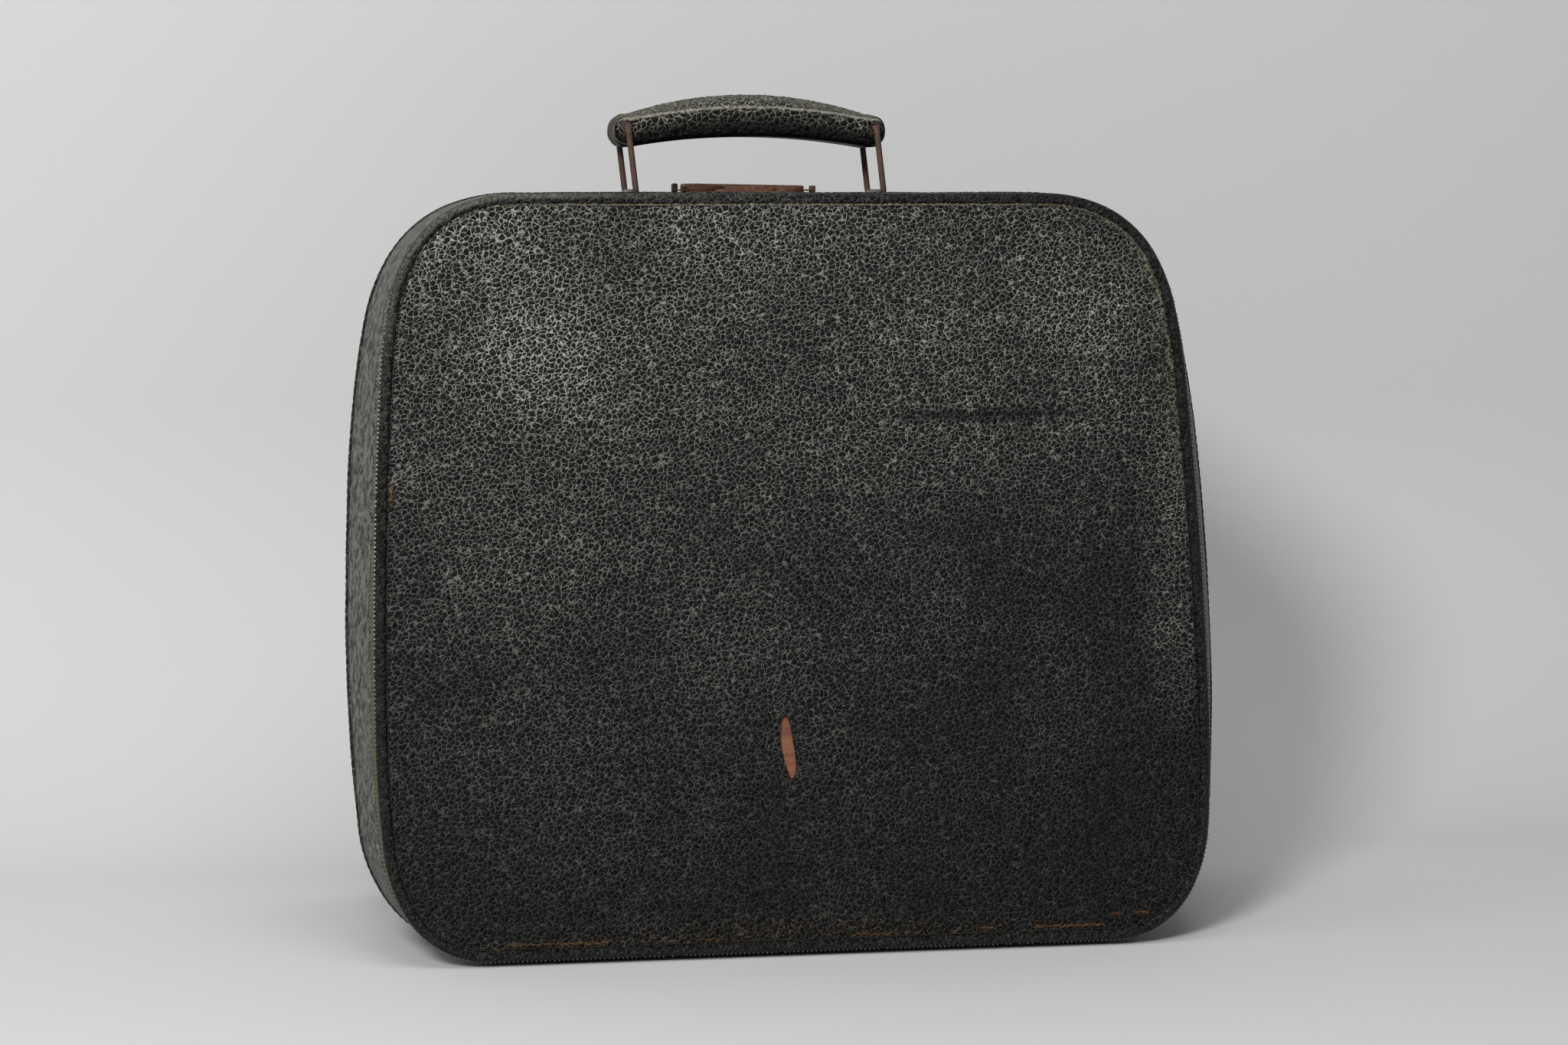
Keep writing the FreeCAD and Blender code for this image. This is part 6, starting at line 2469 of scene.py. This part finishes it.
@dataclass
class SlidingLock:
    """The rusty lock on the base, its slider with two finger tabs, and the strike on the lid."""

    shop: Workshop
    length: float = 51.6
    width: float = 22.0
    corner: float = 5.0
    top_height: float = 3.7
    end_drop: float = 0.75
    outer_rings: tuple[tuple[float, float, bool], ...] = (
        (0.0, 0.8, False), (0.0, 1.8, False), (0.02, 2.9, True), (0.15, 3.6, True), (0.5, 3.88, True),
        (1.1, 4.0, True), (3.0, 4.02, True), (6.5, 4.02, True))
    inner_rings: tuple[tuple[float, float, bool], ...] = ((1.2, 3.0, True), (0.6, 2.3, True), (0.6, 0.8, False))
    rivet_places: tuple[float, float] = (-19.0, 19.0)
    strike_places: tuple[float, float] = (-13.0, 13.0)
    plate_edge: float = 0.2

    def build(self) -> None:
        """Builds the lock and the strike."""
        shop, case = self.shop, self.shop.case
        place_piece(self.cap(), "base", "rusty_steel", "lock_case")
        place_piece(self.slider(), "lock_slider", "rusty_steel", "lock_slider")
        spots = [(x, self.front + 17.0, case.top + self.top_height - self.sag(x) + 0.22)
                 for x in self.rivet_places]
        shop.fasten("base", "lock_rivets", "lock_rivet_set", Fastener(2.2, 0.22, 1.1, 8.6), spots, up=1.0)
        spots = [(x, case.parting_y - self.plate_edge - 10.5, case.top + 0.9) for x in self.strike_places]
        shop.fasten("lid", "strike_rivets", "strike_rivet_set", Fastener(2.3, 0.7, 1.1, 6.1), spots, up=1.0)
        shop.dress(shop.finish.rust, "lock_plate", "strike_plate")

    @property
    def front(self) -> float:
        """Place of the front of the lock."""
        return self.shop.case.parting_y + self.plate_edge + 1.0

    def sag(self, x: Any) -> Any:
        """How far the bent top of the lock has sunk at x."""
        return self.end_drop * rise(x, -24.0, 27.0)

    def ring(self, inset: float, height: float, bent: bool) -> Array:
        """Rounded rectangle of the lock at an inset and a height, dented and sunk where it is bent.

        Args:
            inset: Distance inside the outline.
            height: Height above the top of the case.
            bent: Whether this ring shares the dents.

        Returns:
            The points.
        """
        radius = max(self.corner - inset, 0.4)
        flat = rounded_corners(self.length / 2 - inset, self.width / 2 - inset, radius, 9)
        high = np.full(len(flat), self.shop.case.top + height)
        if bent:
            high += 0.08 * waves(np.column_stack([flat, flat[:, 0] * 0]), 18.0, 71) - self.sag(flat[:, 0])
        return np.column_stack([flat[:, 0], self.front + self.width / 2 + flat[:, 1], high])

    def cap(self) -> Piece:
        """Pressed cap with a rounded edge, bent down at its right end, with its slots.

        Returns:
            The piece.
        """
        loops = [self.ring(*values) for values in self.inner_rings + self.outer_rings]
        piece = new_piece("lock_cap", np.concatenate(loops), capped_faces(len(loops), len(loops[0])),
                          self.shop.finish.rust)
        top, front = self.shop.case.top, self.front
        return carved(piece, [block((-30.0, front + 2.7, top + 0.1), (30.0, front + 11.3, top + 1.95)),
                              block((-6.35, front - 2.0, top + 0.1), (6.35, front + 1.6, top + 2.75))])

    def slider(self) -> Piece:
        """Sliding bolt with a gapped lip, a round dark tab on the left and a square rusty one on the right.

        Returns:
            The piece.
        """
        finish = self.shop.finish
        low, rear = self.shop.case.top + 0.9, self.front + 3.0
        bolt = gathered([
            block((-self.length / 2 - 4.4, rear, low), (self.length / 2 + 4.8, rear + 8.0, low + 0.7)),
            block((-18.4, rear, low + 0.3), (-6.3, rear + 1.2, low + 1.55)),
            block((6.3, rear, low + 0.3), (18.4, rear + 1.2, low + 1.55))])
        tab = block((-30.9, rear + 1.0, low - 0.6), (-28.8, rear + 7.0, low + 3.2))
        end = block((29.0, rear + 0.5, low - 0.6), (30.7, rear + 7.5, low + 2.3))
        parts = (("slider_bolt", bolt, finish.rust, 0.14, 2), ("slider_tab", tab, finish.tab, 0.7, 4),
                 ("slider_end", end, finish.rust, 0.35, 3))
        return joined_pieces(*(softened(new_piece(name, *shape, look), width, segments)
                               for name, shape, look, width, segments in parts))


def joined_pieces(first: Piece, *others: Piece) -> Piece:
    """Joins pieces into the first one, each keeping its finish.

    Args:
        first: Piece that takes in the rest.
        others: Pieces that go into it.

    Returns:
        The first piece.
    """
    work = bmesh.new()
    work.from_mesh(first.data)
    for other in others:
        start = len(work.faces)
        work.from_mesh(other.data)
        work.faces.ensure_lookup_table()
        for face in work.faces[start:]:
            face.material_index = len(first.data.materials)
        first.data.materials.append(other.data.materials[0])
        bpy.data.objects.remove(other)
    work.to_mesh(first.data)
    work.free()
    return first


@dataclass
class BottomFittings:
    """The hinges and the wear strips under the case."""

    shop: Workshop
    nail_pitch: float = 45.0
    nail_middle: float = -3.5
    rivet_pitch: float = 14.0
    rivet_row: float = 10.0
    strip_middle: float = 6.0

    def build(self) -> None:
        """Dresses the hinges and the strips, and drives their rivets and nails."""
        shop, case = self.shop, self.shop.case
        shop.dress(shop.finish.rust, "left_hinge_lid_leaf", "right_hinge_lid_leaf", "left_hinge_base_leaf",
                   "right_hinge_base_leaf")
        shop.dress(shop.finish.wire, "left_hinge_pin", "right_hinge_pin")
        shop.dress(shop.finish.strip, "front_wear_strip", "rear_wear_strip")
        for body, side in (("lid", -1), ("base", 1)):
            y = case.parting_y + side * self.rivet_row
            spots = [(x + step * self.rivet_pitch, y, 1.0) for x in case.hinges
                     for step in (-1, 0, 1)]
            shop.fasten(body, body + "_hinge_rivets", body + "_hinge_rivet_set", Fastener(2.3, 0.7, 1.1, 6.2),
                        spots, up=-1.0)
        foot_y = case.panel_top_y - case.panel_height * math.sin(case.lean)
        for body, name, y in (("lid", "front", foot_y + 8.5 + self.strip_middle),
                              ("base", "rear", case.back_y - 6.0 - self.strip_middle)):
            spots = [(self.nail_middle + step * self.nail_pitch, y, 0.3) for step in range(-2, 3)]
            shop.fasten(body, name + "_strip_nails", name + "_nail_set", Fastener(2.35, 0.2, 0.9, 6.3), spots,
                        up=-1.0)


class Lamp(Enum):
    """Soft lamps of the studio: place, size and power."""

    KEY = ((-0.78, -1.58, 1.08), 0.42, 28.0)
    SIDE = ((-1.7, -0.5, 1.1), 1.2, 5.5)
    FILL = ((1.5, -1.2, 0.9), 1.2, 1.0)
    TOP = ((-0.1, -0.75, 1.7), 1.2, 10.0)


@dataclass(frozen=True)
class Studio:
    """Pale floor that sweeps up behind the case, soft lamps and the camera."""

    camera_place: tuple[float, float, float] = (-0.2794, -1.5569, 0.3013)
    yaw: float = 10.4
    pitch: float = 4.92
    lens: float = 87.89
    floor_colour: Colour = (0.60, 0.60, 0.595)
    room_colour: Colour = (0.62, 0.63, 0.64)
    room_light: float = 0.22
    wall_y: float = 0.34
    sweep: float = 0.2
    floor_z: float = -0.0003

    def build(self) -> None:
        """Builds the floor, the lamps, the world and the camera."""
        self.floor()
        for lamp in Lamp:
            place, size, power = lamp.value
            light = bpy.data.lights.new("lamp_" + lamp.name.lower(), "AREA")
            light.shape, light.size, light.energy = "DISK", size, power
            holder = linked(light.name, light)
            holder.location = place
            aim = Vector((0.0, 0.0, 0.15)) - Vector(place)
            holder.rotation_euler = aim.to_track_quat("-Z", "Y").to_euler()
        world = bpy.data.worlds.new("pale_room")
        world.use_nodes = True
        background = world.node_tree.nodes["Background"]
        background.inputs["Color"].default_value = (*self.room_colour, 1.0)
        background.inputs["Strength"].default_value = self.room_light
        bpy.context.scene.world = world
        bpy.context.scene.view_settings.view_transform = "Standard"
        self.camera()

    def floor(self) -> None:
        """Sheet of pale paper that curves up behind the case, seen from its front only."""
        turn = np.linspace(0, math.pi / 2, 16)
        run = [(-4.0, self.floor_z)]
        run += [(self.wall_y - self.sweep + self.sweep * math.sin(angle),
                 self.sweep - self.sweep * math.cos(angle) + self.floor_z) for angle in turn]
        run += [(self.wall_y, 3.2)]
        mesh = bpy.data.meshes.new("paper_sweep")
        mesh.from_pydata([(x, y, z) for y, z in run for x in (-4.5, 4.5)], [],
                         grid_faces(len(run), 2, False, False).tolist())
        mesh.shade_smooth()
        paper = bpy.data.materials.new("pale_paper")
        paper.use_nodes = True
        kit = NodeKit(paper.node_tree)
        shader = paper.node_tree.nodes["Principled BSDF"]
        for name, value in (("Base Color", (*self.floor_colour, 1.0)), ("Roughness", 0.8),
                            ("Specular IOR Level", 0.2)):
            kit.feed(shader.inputs[name], value)
        behind = kit.node("ShaderNodeNewGeometry").outputs["Backfacing"]
        clear = kit.node("ShaderNodeBsdfTransparent").outputs[0]
        choose = kit.node("ShaderNodeMixShader", {0: behind, 1: shader.outputs[0], 2: clear})
        kit.feed(paper.node_tree.nodes["Material Output"].inputs["Surface"], choose.outputs[0])
        mesh.materials.append(paper)
        sheet = linked("paper_sweep", mesh)

    def camera(self) -> None:
        """Camera at the photograph's place, for a frame of 2048 by 1365."""
        data = bpy.data.cameras.new("camera")
        data.lens, data.sensor_width, data.clip_start, data.clip_end = self.lens, 36.0, 0.05, 30.0
        camera = linked("camera", data)
        camera.location = self.camera_place
        camera.rotation_euler = (math.radians(90.0 - self.pitch), 0.0, -math.radians(self.yaw))
        bpy.context.scene.camera = camera


def main() -> None:
    """Builds the studio and the case in order."""
    logging.basicConfig(level=logging.INFO, format="%(message)s")
    Studio().build()
    shop = Workshop(CaseShape(), FinishBook(), GrowthTrees())
    for assembly in (LeatherLid, BaseTray, CarryingHandle, SlidingLock, BottomFittings):
        LOG.info("building %s", assembly.__name__)
        assembly(shop).build()


if __name__ == "__main__":
    main()
